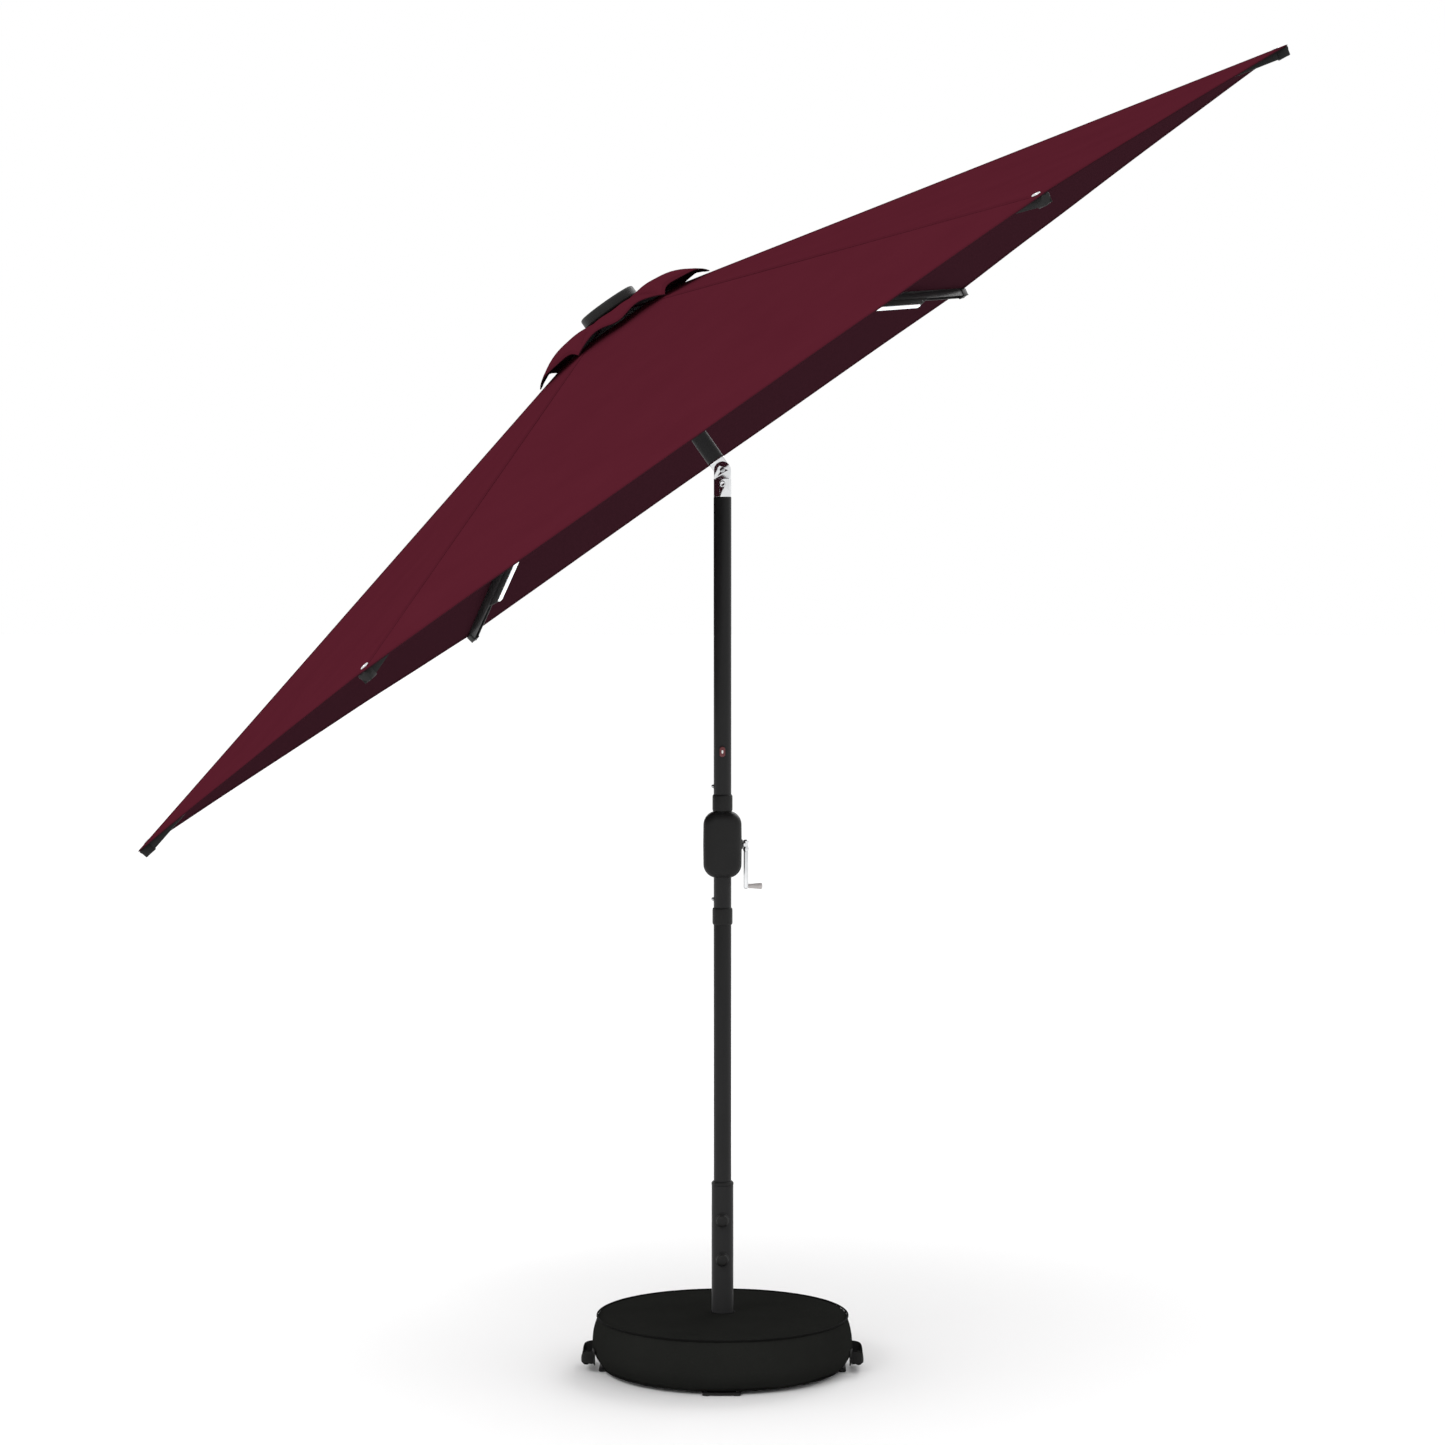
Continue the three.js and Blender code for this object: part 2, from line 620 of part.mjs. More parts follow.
// solar lamp cap on a stem that drops through the vent cap into the crown
const capTop = capBottom + capHeight;
const capBody = turned([
  [0, crownTop - 14],
  [stemRadius, crownTop - 14],
  [stemRadius, capBottom],
  [capRadius - 4, capBottom],
  [capRadius, capBottom + 4],
  [capRadius, capTop - 5],
  [capRadius - 5, capTop],
  [panelRadius + GAP, capTop],
  [panelRadius + GAP, capTop - panelThick - GAP],
  [0, capTop - panelThick - GAP],
], 28);
part(mast, "solar_cap", capBody, blackPlastic);
part(mast, "solar_panel", rod("z", panelRadius, capTop - panelThick, capTop - 0.2, [0, 0, 0], 28), solarGlass);

// ---------- canopy frame and cloth, one set for each rib ----------
const ribLength = (canopyRadius - ribShort - hingeRadius) / Math.cos(slope);
const ribHalf = ribHeight / 2;
const channelFrom = crownRadius - hingeRadius + 5;

function ribBody() {
  // a channel open below, a flat lug with stub pins inside its inner end, and a cross rivet for the strut
  const outline = new THREE.Shape();
  const [x, y] = [ribWidth / 2, ribHalf];
  outline.moveTo(-x, -y);
  outline.lineTo(-x + ribWall, -y);
  outline.lineTo(-x + ribWall, y - ribWall);
  outline.lineTo(x - ribWall, y - ribWall);
  outline.lineTo(x - ribWall, -y);
  outline.lineTo(x, -y);
  outline.lineTo(x, y);
  outline.lineTo(-x, y);
  const channel = new THREE.ExtrudeGeometry(outline, { depth: ribLength - channelFrom, bevelEnabled: false });
  channel.rotateX(Math.PI / 2).rotateZ(Math.PI / 2).translate(channelFrom, 0, 0);
  const lugHalf = lugWidth / 2 + 0.4;
  const lugFlat = lugWidth / 2;
  const rivetHalf = ribWidth / 2 + 1;
  const innerTop = ribHalf - ribWall + 0.2;
  return joinAll([
    solid(channel),
    solid(block([channelFrom + 1, -lugHalf - 0.2, -lugRadius], [channelFrom + 30, lugHalf + 0.2, innerTop])),
    solid(block([0, -lugFlat, -lugRadius], [channelFrom + 2, lugFlat, lugRadius])),
    solid(rod("y", lugRadius, -lugFlat, lugFlat, [0, 0, 0], 12)),
    solid(rod("y", pinRadius, -stubHalf, stubHalf, [0, 0, 0], 8)),
    solid(rod("y", 2.5, -rivetHalf, rivetHalf, [strutReach, 0, -strutPinDrop], 8)),
  ]);
}

// where the strut's pin sits, in the upright plane through the rib, from the mast's axis
const pinOut = hingeRadius + strutReach * Math.cos(slope) - strutPinDrop * Math.sin(slope);
const pinUp = hingeHeight - strutReach * Math.sin(slope) - strutPinDrop * Math.cos(slope);
const strutRun = pinOut - runnerPivotRadius;
const strutLift = pinUp - runnerHeight;
const strutLength = Math.hypot(strutRun, strutLift);
const strutAngle = Math.atan2(strutLift, strutRun);

function strutBody() {
  // a flat bar with a round end in the runner, and an eye round the rib's rivet with room to float
  const half = strutWidth / 2;
  const h = strutHeight / 2;
  const eye = 9;
  const body = joinAll([
    solid(block([0, -half, -h], [strutLength, half, h])),
    solid(rod("y", h, -half, half, [0, 0, 0], 14)),
    solid(rod("y", pinRadius, -strutStub, strutStub, [0, 0, 0], 8)),
    solid(rod("y", eye, -half, half, [strutLength, 0, 0], 14)),
  ]);
  return body.subtract(solid(rod("y", eye - 4, -20, 20, [strutLength, 0, 0], 14)));
}

function lightBar() {
  // a black housing under the rib, its outer end sloping up to the rib
  const end = ribLength - barInset;
  const top = -ribHalf - GAP;
  const outline = new THREE.Shape();
  outline.moveTo(end - lightLength, top);
  outline.lineTo(end - lightLength, top - lightHeight);
  outline.lineTo(end - 20, top - lightHeight);
  outline.lineTo(end, top - lightHeight * 0.6);
  outline.lineTo(end + 25, top);
  return slab(outline, -ribWidth / 2 - 1, ribWidth / 2 + 1);
}

const ventDistance = ventOpening * Math.cos(sector);
function panelPoint(u, v, w) {
  // v = 0 is the ridge over the rib; v = -1 and 1 are the edges beside the next panels
  const side = Math.sign(v);
  const share = 1 - Math.abs(v);
  const halfHem = hemDistance * Math.tan(sector);
  const edge = foldRoom / hemDistance;
  const lean = Math.tan(sector) * share + edge * Math.abs(v);
  const dip = hemDip * (1 - ((hemDistance * lean) / halfHem) ** 2);
  const out = ventDistance + (hemDistance - dip - ventDistance) * u;
  const across = out * lean;
  const x = out * Math.cos(sector) + across * Math.sin(sector);
  const y = side * (out * Math.sin(sector) - across * Math.cos(sector));
  const z = apexHeight - (canopyRise * out) / hemDistance - fabricThick * (1 - w);
  return [x, y, z];
}

for (let k = 0; k < ribCount; k += 1) {
  const number = k + 1;
  const radial = new THREE.Group();
  radial.rotation.z = k * 2 * sector;
  mast.add(radial);

  const arm = new THREE.Group();
  arm.position.set(hingeRadius, 0, hingeHeight);
  arm.rotation.y = slope;
  radial.add(arm);
  part(arm, `rib_${number}`, ribBody(), powderCoat);
  part(arm, `light_bar_${number}`, lightBar(), blackPlastic);

  const strut = part(radial, `strut_${number}`, strutBody(), powderCoat);
  strut.position.set(runnerPivotRadius, 0, runnerHeight);
  strut.rotation.y = -strutAngle;

  part(radial, `canopy_panel_${number}`, bentSheet(4, 4, panelPoint), burgundy);
}

export default umbrella;
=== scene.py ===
import json
import math

import bmesh
import bpy
from mathutils import Matrix, Vector, noise


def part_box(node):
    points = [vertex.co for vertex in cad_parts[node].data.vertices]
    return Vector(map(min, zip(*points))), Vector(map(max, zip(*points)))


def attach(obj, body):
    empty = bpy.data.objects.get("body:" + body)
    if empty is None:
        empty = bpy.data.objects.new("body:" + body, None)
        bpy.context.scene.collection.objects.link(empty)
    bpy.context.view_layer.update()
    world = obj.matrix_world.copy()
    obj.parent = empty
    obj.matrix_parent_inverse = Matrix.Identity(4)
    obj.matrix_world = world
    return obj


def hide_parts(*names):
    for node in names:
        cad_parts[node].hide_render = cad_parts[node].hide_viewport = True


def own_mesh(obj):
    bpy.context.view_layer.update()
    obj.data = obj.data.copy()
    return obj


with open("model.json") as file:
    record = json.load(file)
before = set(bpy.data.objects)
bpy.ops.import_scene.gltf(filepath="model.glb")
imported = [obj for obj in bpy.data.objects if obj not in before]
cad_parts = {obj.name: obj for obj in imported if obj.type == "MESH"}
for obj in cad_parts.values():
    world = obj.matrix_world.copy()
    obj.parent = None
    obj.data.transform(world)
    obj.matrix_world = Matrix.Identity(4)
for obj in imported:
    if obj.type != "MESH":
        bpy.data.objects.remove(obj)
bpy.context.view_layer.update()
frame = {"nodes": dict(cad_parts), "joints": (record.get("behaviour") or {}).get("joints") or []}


# ---- Camera and studio ----
# The umbrella stands on a plain white floor, seen from standing eye height
# about eight metres back, under broad soft light.
eye = Vector((0.06, -8.0, 1.797))
aim = Vector((0.0, 0.0, 1.399))
camera_data = bpy.data.cameras.new("camera")
camera_data.sensor_width = 36.0
camera_data.lens = 93.0
camera = bpy.data.objects.new("camera", camera_data)
camera.location = eye
camera.rotation_euler = (aim - eye).to_track_quat("-Z", "Y").to_euler()
bpy.context.scene.collection.objects.link(camera)
bpy.context.scene.camera = camera
bpy.context.scene.view_settings.view_transform = "Standard"

world = bpy.data.worlds.new("studio")
bpy.context.scene.world = world
world.use_nodes = True
world.node_tree.nodes["Background"].inputs["Color"].default_value = (1.0, 1.0, 1.0, 1.0)
world.node_tree.nodes["Background"].inputs["Strength"].default_value = 1.0

overhead_data = bpy.data.lights.new("overhead", "SUN")
overhead_data.energy = 0.55
overhead_data.angle = math.radians(60)
overhead = bpy.data.objects.new("overhead", overhead_data)
overhead.rotation_euler = (Vector((0.25, 0.7, -2.0))).to_track_quat("-Z", "Y").to_euler()
bpy.context.scene.collection.objects.link(overhead)
for lamp_name, place, target, size, power in (
    ("key_light", (-3.6, -5.2, 5.4), (0.0, 0.0, 1.4), 3.0, 160.0),
    ("rim_light", (2.5, 4.5, 4.5), (0.0, 0.0, 1.6), 3.0, 80.0),
):
    lamp_data = bpy.data.lights.new(lamp_name, "AREA")
    lamp_data.size = size
    lamp_data.energy = power
    lamp = bpy.data.objects.new(lamp_name, lamp_data)
    lamp.location = place
    lamp.rotation_euler = (Vector(target) - Vector(place)).to_track_quat("-Z", "Y").to_euler()
    bpy.context.scene.collection.objects.link(lamp)


class Wire:
    """A shader socket. Sums on it are written as plain arithmetic and add Math nodes."""

    def __init__(self, tree, socket=None):
        self.tree = tree
        self.socket = socket

    def node(self, kind, settings=None, sockets=None, out=0):
        made = self.tree.nodes.new(kind)
        for key, value in (settings or {}).items():
            setattr(made, key, value)
        for key, value in (sockets or {}).items():
            if isinstance(value, Wire):
                self.tree.links.new(value.socket, made.inputs[key])
            else:
                made.inputs[key].default_value = value
        return Wire(self.tree, made.outputs[out])

    def math(self, operation, first, second=0.0):
        return self.node("ShaderNodeMath", {"operation": operation}, {0: first, 1: second})

    def __add__(self, other):
        return self.math("ADD", self, other)

    def __radd__(self, other):
        return self.math("ADD", other, self)

    def __mul__(self, other):
        return self.math("MULTIPLY", self, other)

    def __rmul__(self, other):
        return self.math("MULTIPLY", other, self)

    def __gt__(self, other):
        return self.math("GREATER_THAN", self, other)

    def to(self, shader, socket):
        self.tree.links.new(self.socket, shader.inputs[socket])


def new_finish(name, color, roughness, **uniform):
    """A material with one Principled shader; returns it, its wire and its shader."""
    material = bpy.data.materials.new(name)
    material.use_nodes = True
    shader = material.node_tree.nodes["Principled BSDF"]
    shader.inputs["Base Color"].default_value = (*color, 1.0)
    shader.inputs["Roughness"].default_value = roughness
    for key, value in uniform.items():
        shader.inputs[key.replace("_", " ")].default_value = value
    return material, Wire(material.node_tree), shader


def sharp_edges(bm, degrees):
    limit = math.radians(degrees)
    return [e for e in bm.edges if len(e.link_faces) == 2 and e.calc_face_angle(0.0) > limit]


def piece(bm, name, material, place=None, smooth=40.0):
    """Turns a bmesh into a linked object at the origin, its place in its mesh."""
    if place is not None:
        bmesh.ops.transform(bm, matrix=place, verts=bm.verts)
    mesh = bpy.data.meshes.new(name)
    for face in bm.faces:
        face.smooth = True
    for edge in sharp_edges(bm, smooth):
        edge.smooth = False
    bm.to_mesh(mesh)
    bm.free()
    mesh.materials.append(material)
    made = bpy.data.objects.new(name, mesh)
    bpy.context.scene.collection.objects.link(made)
    return made


floor_finish, wire, shader = new_finish("studio_floor", (0.93, 0.93, 0.93), 0.9)
bm = bmesh.new()
bmesh.ops.create_grid(bm, x_segments=1, y_segments=1, size=60.0)
floor = piece(bm, "studio_floor", floor_finish)


# ---- Cross, foot caps and socket tube ----
# Two flat steel bars crossed on the ground carry the socket tube; each arm ends
# in a rubber cap with two round pads. The bag hides nearly all of it.
def object_place(wire):
    """Object coordinates, which a pattern follows."""
    return wire.node("ShaderNodeTexCoord", {}, {}, out=3)


def mottled(wire, shader, color_a, color_b, rough_a, rough_b, scale, where):
    """Slow variation of colour and roughness over a surface."""
    cloud = wire.node("ShaderNodeTexNoise", {}, {"Vector": where, "Scale": scale, "Detail": 5.0})
    blend = wire.node("ShaderNodeMix", {"data_type": "RGBA"},
                      {0: cloud, 6: (*color_a, 1.0), 7: (*color_b, 1.0)}, out=2)
    blend.to(shader, "Base Color")
    (cloud * (rough_b - rough_a) + rough_a).to(shader, "Roughness")


def grained(wire, shader, height, distance, strength=1.0):
    """Fine relief from a height wire."""
    bump = wire.node("ShaderNodeBump", {}, {"Strength": strength, "Distance": distance, "Height": height})
    bump.to(shader, "Normal")


def rounded(bm, width, segments=2, degrees=35.0, edges=None):
    """Rounds the sharp edges of a shape over."""
    chosen = sharp_edges(bm, degrees) if edges is None else edges
    bmesh.ops.bevel(bm, geom=chosen, offset=width, offset_type="OFFSET", affect="EDGES",
                    segments=segments, profile=0.5, material=-1, clamp_overlap=True)


def spun(profile, steps=64, closed=True):
    """A shape of revolution about Z from [radius, height] points; a closed profile is a ring."""
    bm = bmesh.new()
    row = [bm.verts.new((r, 0.0, z)) for r, z in profile]
    pairs = list(zip(row, row[1:]))
    if closed:
        pairs.append((row[-1], row[0]))
    edges = [bm.edges.new(pair) for pair in pairs]
    bmesh.ops.spin(bm, geom=row + edges, cent=(0, 0, 0), axis=(0, 0, 1), dvec=(0, 0, 0),
                   angle=math.tau, steps=steps, use_merge=True, use_duplicate=False)
    bmesh.ops.remove_doubles(bm, verts=bm.verts, dist=1e-6)
    bmesh.ops.recalc_face_normals(bm, faces=bm.faces)
    return bm


def trued(node, width, segments=2, degrees=32.0):
    """A copy of a machined or moulded part's mesh, welded and cleaned, its edges rounded over."""
    bm = bmesh.new()
    bm.from_mesh(frame["nodes"][node].data)
    bmesh.ops.remove_doubles(bm, verts=bm.verts, dist=1e-5)
    bmesh.ops.dissolve_limit(bm, angle_limit=math.radians(1.0), verts=bm.verts, edges=bm.edges)
    bmesh.ops.recalc_face_normals(bm, faces=bm.faces)
    rounded(bm, width, segments, degrees)
    return bm


# powder coat on mild steel: a fine orange peel, a soft sheen and faint handling marks
powder_coat, wire, shader = new_finish("powder_coat", (0.0145, 0.0145, 0.0148), 0.42, Specular_IOR_Level=0.14)
where = object_place(wire)
mottled(wire, shader, (0.0112, 0.0112, 0.0114), (0.0172, 0.0172, 0.0176), 0.34, 0.5, 14.0, where)
peel = wire.node("ShaderNodeTexNoise", {}, {"Vector": where, "Scale": 650.0, "Detail": 2.0})
grained(wire, shader, peel, 0.00025, 0.6)

# black polypropylene with a fine spark-eroded grain
black_plastic, wire, shader = new_finish("black_plastic", (0.013, 0.013, 0.013), 0.45, Specular_IOR_Level=0.14)
where = object_place(wire)
mottled(wire, shader, (0.0104, 0.0104, 0.0103), (0.0162, 0.0162, 0.016), 0.38, 0.52, 22.0, where)
grain = wire.node("ShaderNodeTexVoronoi", {}, {"Vector": where, "Scale": 1400.0})
grained(wire, shader, grain, 0.00012, 0.5)

for node, material, slot in (
    ("base_cross", powder_coat, "powder_coat"),
    ("foot_right", black_plastic, "black_plastic"),
    ("foot_back", black_plastic, "black_plastic"),
    ("foot_left", black_plastic, "black_plastic"),
    ("foot_front", black_plastic, "black_plastic"),
):
    made = piece(trued(node, 0.0008), f"{node}_finished", material)
    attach(made, "base")
    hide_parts(node)

tube_radius = 0.0235
tube_bore = 0.0215
tube_low, tube_high = (corner.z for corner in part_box("base_tube"))
flange_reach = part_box("base_tube")[1].x
flange_top = tube_low + 0.004
weld = 0.004
bm = spun([
    (tube_bore, tube_low), (flange_reach, tube_low), (flange_reach, flange_top),
    (tube_radius + weld, flange_top), (tube_radius, flange_top + weld),
    (tube_radius, tube_high), (tube_bore, tube_high),
], 72)
rounded(bm, 0.0008, 3)
base_tube = piece(bm, "socket_tube", powder_coat)
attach(base_tube, "base")
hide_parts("base_tube")


# ---- Clamp knobs ----
# Each round hand knob screws through a welded boss and bears on the pole; its
# moulded head is a fluted dome on a plain skirt.
flutes = 16
flute_depth = 0.028
for name in ("knob_lower", "knob_upper"):
    low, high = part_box(name)
    face_out = Matrix.Translation((0.0, 0.0, (low.z + high.z) / 2)) @ Matrix.Rotation(math.radians(90), 4, "X")
    bm = spun([(0.0045, 0.021), (0.0085, 0.021), (0.0082, 0.0263), (0.0045, 0.0263)], 36)
    rounded(bm, 0.0006)
    boss = piece(bm, f"{name}_boss", powder_coat, face_out)
    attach(boss, "base")

    front = -low.y
    bm = spun([
        (0.0, front - 0.0152), (0.0138, front - 0.0152), (0.0149, front - 0.0142), (0.0149, front - 0.0112),
        (0.0140, front - 0.0098), (0.0132, front - 0.0094), (0.0130, front - 0.0048), (0.0114, front - 0.0018),
        (0.0076, front - 0.0005), (0.0034, front), (0.0, front),
    ], 96, closed=False)
    for vert in bm.verts:
        # shallow finger flutes round the head, none on the skirt
        reach = math.hypot(vert.co.x, vert.co.y)
        turn = math.atan2(vert.co.y, vert.co.x)
        if 0.0105 < reach < 0.0135 and vert.co.z > front - 0.0096:
            flute = 1.0 - flute_depth * (0.5 - 0.5 * math.cos(flutes * turn))
            vert.co.x *= flute
            vert.co.y *= flute
    head = piece(bm, f"{name}_head", black_plastic, face_out, smooth=60.0)
    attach(head, name)
    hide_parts(name)

    bm = spun([(0.0, 0.0196), (0.004, 0.0196), (0.004, front - 0.014), (0.0, front - 0.014)], 24, closed=False)
    stud = piece(bm, f"{name}_stud", black_plastic, face_out)
    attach(stud, name)


# ---- Bush in the tube's mouth ----
# A turned plastic bush sits in the socket tube's mouth, its rounded lip over the
# tube's edge, and keeps the pole from rattling.
low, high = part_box("tube_collar")
bm = spun([
    (0.0193, low.z), (0.0212, low.z), (0.0212, tube_high + 0.0004), (high.x, tube_high + 0.0004),
    (high.x, high.z - 0.003), (high.x - 0.0022, high.z), (0.0193, high.z),
], 72)
rounded(bm, 0.0006, 2, 25.0)
bush = piece(bm, "mouth_bush", black_plastic)
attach(bush, "bush")
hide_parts("tube_collar")


# ---- Weight bag ----
# A round bag of coated woven cloth, filled with sand and laid round the tube:
# a flat top, a soft side that bulges, corded piping round both seams.
bag_cloth, wire, shader = new_finish("bag_cloth", (0.009, 0.009, 0.0084), 0.75, Specular_IOR_Level=0.0)
where = object_place(wire)
mottled(wire, shader, (0.0118, 0.0121, 0.0112), (0.0165, 0.0170, 0.0155), 0.66, 0.86, 9.0, where)
weft, warp, fill_wave = [
    wire.node("ShaderNodeTexWave", {"bands_direction": way}, {"Vector": where, "Scale": 260.0, "Distortion": 0.6})
    for way in ("Z", "X", "Y")
]
crease = wire.node("ShaderNodeTexNoise", {}, {"Vector": where, "Scale": 26.0, "Detail": 4.0})
grained(wire, shader, weft * 0.4 + warp * 0.4 + fill_wave * 0.4 + crease * 2.0, 0.0006, 0.5)

bag_low, bag_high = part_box("weight_bag")
bag_reach = bag_high.x + 0.0066
bag_bore = 0.0247
bag_seam_reach = 0.2700
bag_seam_height = bag_high.z - 0.010
bag_foot_reach = 0.2600
fullest = 0.40
pucker_depth = 0.0034
slack_depth = 0.0036


def bag_side(share):
    """Radius and height up the side: tucked in at the foot, fullest low down, leaning in to the top seam."""
    full = bag_reach - 0.0005
    if share < fullest:
        radius = bag_foot_reach + (full - bag_foot_reach) * math.sin(math.pi / 2 * share / fullest) ** 0.85
    else:
        radius = full - (full - bag_seam_reach) * ((share - fullest) / (1.0 - fullest)) ** 2.6
    return radius, bag_low.z + 0.004 + (bag_seam_height - bag_low.z - 0.004) * share


side_steps = 24
top_steps = 16
profile = [(bag_bore, bag_low.z), (0.12, bag_low.z), (0.22, bag_low.z), (0.245, bag_low.z + 0.0006)]
profile += [bag_side(i / side_steps) for i in range(side_steps + 1)]
for i in range(1, top_steps + 1):
    share = i / top_steps
    r = bag_seam_reach - 0.003 + (bag_bore - bag_seam_reach + 0.003) * share
    dome = 0.0092 * math.sin(math.pi * min(share * 1.6 + 0.12, 1.0) / 2) - 0.002 * share
    profile.append((r, bag_seam_height + dome))
bm = spun(profile, 288)
for vert in bm.verts:
    reach = math.hypot(vert.co.x, vert.co.y)
    turn = math.atan2(vert.co.y, vert.co.x)
    up = (vert.co.z - bag_low.z) / (bag_seam_height - bag_low.z)
    soft = noise.noise(Vector((vert.co.x * 9.0, vert.co.y * 9.0, vert.co.z * 14.0)))
    if reach > 0.235 and up > 0.03:
        # cloth gathered along both seams puckers, and the puckers die out over the side
        near_seam = max(math.exp(-abs(up - 1.0) * 6.0), 0.8 * math.exp(-up * 7.0))
        pucker = noise.noise(Vector((math.cos(turn) * 19.0, math.sin(turn) * 19.0, 3.0)))
        push = (pucker_depth * pucker * near_seam + slack_depth * soft) * (0.35 if 0.97 < up < 1.03 else 1.0) - 0.0016
        vert.co.x += vert.co.x / reach * push
        vert.co.y += vert.co.y / reach * push
    elif up > 0.9 and reach > bag_bore + 0.002:
        rim = min((reach - bag_bore) / 0.02, 1.0) * min((bag_seam_reach - reach) / 0.02, 1.0)
        vert.co.z += (0.0034 * soft - 0.0024) * max(rim, 0.0)
bag = piece(bm, "sand_bag", bag_cloth, smooth=75.0)
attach(bag, "base")
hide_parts("weight_bag")

piping_cloth, wire, shader = new_finish("piping_cloth", (0.006, 0.006, 0.0056), 0.7, Specular_IOR_Level=0.02)
where = object_place(wire)
mottled(wire, shader, (0.0042, 0.0042, 0.0040), (0.0072, 0.0072, 0.0068), 0.62, 0.80, 60.0, where)
twill = wire.node("ShaderNodeTexWave", {"bands_direction": "DIAGONAL"}, {"Vector": where, "Scale": 330.0})
grained(wire, shader, twill, 0.0003, 0.5)


def cord_ring(name, reach, height, radius, steps=240):
    """A round cord sewn into a seam."""
    points = [(reach + radius * math.cos(a), height + radius * math.sin(a))
              for a in (math.tau * i / 10 for i in range(10))]
    made = piece(spun(points, steps), name, piping_cloth, smooth=75.0)
    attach(made, "base")


cord_ring("bag_piping_top", bag_seam_reach + 0.0005, bag_seam_height + 0.0008, 0.0021)
cord_ring("bag_piping_foot", bag_foot_reach - 0.0005, bag_low.z + 0.0042, 0.0019)
cord_ring("bag_throat_binding", bag_bore + 0.0019, bag_high.z - 0.0035, 0.0017, 72)


# ---- Bag handles ----
# A loop of webbing is sewn to each side of the bag with boxed stitching, and its
# middle is rolled round and stitched into a grip that hangs just off the ground.
webbing, wire, shader = new_finish("webbing", (0.013, 0.013, 0.013), 0.7, Specular_IOR_Level=0.15)
where = object_place(wire)
mottled(wire, shader, (0.0075, 0.0075, 0.0073), (0.0135, 0.0135, 0.0130), 0.6, 0.8, 80.0, where)
rib_wave = wire.node("ShaderNodeTexWave", {"bands_direction": "DIAGONAL"}, {"Vector": where, "Scale": 210.0})
cross_wave = wire.node("ShaderNodeTexWave", {"bands_direction": "Z"}, {"Vector": where, "Scale": 380.0})
grained(wire, shader, rib_wave + cross_wave, 0.0004, 0.6)


def box_shape(low, high):
    """A block between two corners."""
    bm = bmesh.new()
    size = Vector(high) - Vector(low)
    middle = (Vector(high) + Vector(low)) / 2
    bmesh.ops.create_cube(bm, size=1.0, matrix=Matrix.Translation(middle) @ Matrix.Diagonal((*size, 1.0)))
    return bm


def swept(stations):
    """Joins a run of closed rings; each station is a matrix and a pair of half sizes."""
    bm = bmesh.new()
    before = None
    for place, (half_x, half_y) in stations:
        made = bmesh.ops.create_circle(bm, cap_ends=False, segments=20, radius=1.0,
                                       matrix=place @ Matrix.Diagonal((half_x, half_y, 1.0, 1.0)))
        ring = list({e for v in made["verts"] for e in v.link_edges})
        if before is not None:
            bmesh.ops.bridge_loops(bm, edges=before + ring)
        before = ring
    bmesh.ops.holes_fill(bm, edges=[e for e in bm.edges if len(e.link_faces) == 1], sides=0)
    bmesh.ops.recalc_face_normals(bm, faces=bm.faces)
    return bm


def along(points, halves):
    """Stations for swept: rings square to a run of points."""
    stations = []
    for i, point in enumerate(points):
        ahead = points[min(i + 1, len(points) - 1)] - points[max(i - 1, 0)]
        turn = ahead.to_track_quat("Z", "Y").to_matrix().to_4x4()
        stations.append((Matrix.Translation(point) @ turn, halves[i]))
    return stations


grip_radius = 0.0102
for name, sign in (("bag_handle_right", 1.0), ("bag_handle_left", -1.0)):
    low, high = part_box(name)
    half_span = (high.y - low.y) / 2 - 0.012
    grip_x = (high.x if sign > 0 else -low.x) - 0.0075
    grip_z = low.z + 0.0105
    strap_x = grip_x + grip_radius - 0.0010
    strap_z = grip_z + 0.0045
    side_x = math.sqrt(bag_reach ** 2 - half_span ** 2)
    anchor_z = high.z - 0.017
    grip_half = 0.036
    route = []
    for k in range(13):
        t = k / 12
        swing = math.sin(t * math.pi / 2) ** 0.6
        route.append(Vector((
            side_x + 0.0012 + (strap_x - side_x - 0.0012) * swing,
            -half_span + (half_span - grip_half) * (0.08 * t + 0.92 * t ** 3),
            anchor_z - (anchor_z - strap_z) * t ** 2.2,
        )))
    route += [Vector((strap_x, -grip_half + 2 * grip_half * k / 6, strap_z)) for k in range(1, 7)]
    route += [Vector((p.x, -p.y, p.z)) for p in reversed(route[:12])]
    flat = [(0.0015, 0.0140 - 0.0070 * min(k, len(route) - 1 - k, 12) / 12) for k in range(len(route))]
    turn = Matrix.Identity(4) if sign > 0 else Matrix.Rotation(math.pi, 4, "Z")
    strap = piece(swept(along(route, flat)), f"{name}_strap", webbing, turn)
    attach(strap, "base")
    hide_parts(name)

    stops = 15
    grip_points = [Vector((grip_x, -grip_half + 2 * grip_half * k / (stops - 1), grip_z)) for k in range(stops)]
    swell = [grip_radius - 0.0022 * abs(2 * k / (stops - 1) - 1) ** 6 for k in range(stops)]
    roll = swept(along(grip_points, [(r, r) for r in swell]))
    grip = piece(roll, f"{name}_grip", piping_cloth, turn, smooth=60.0)
    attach(grip, "base")

    for end, label in ((-1.0, "front"), (1.0, "back")):
        patch = box_shape((-0.0011, -0.014, -0.016), (0.0011, 0.014, 0.016))
        rounded(patch, 0.0007)
        azimuth = math.atan2(end * half_span, side_x)
        on_side = Matrix.Translation((bag_reach - 0.0009, 0.0, anchor_z + 0.002))
        spot = Matrix.Rotation(azimuth, 4, "Z") @ on_side
        made = piece(patch, f"{name}_patch_{label}", webbing, turn @ spot)
        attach(made, "base")


# ---- Pole tubes and collars ----
# Three drawn tubes plug into each other; a plastic collar with rounded lips
# covers each seam, and a sprung button pops through the wall above it.
pole_radius = 0.019
pole_bore = 0.0175


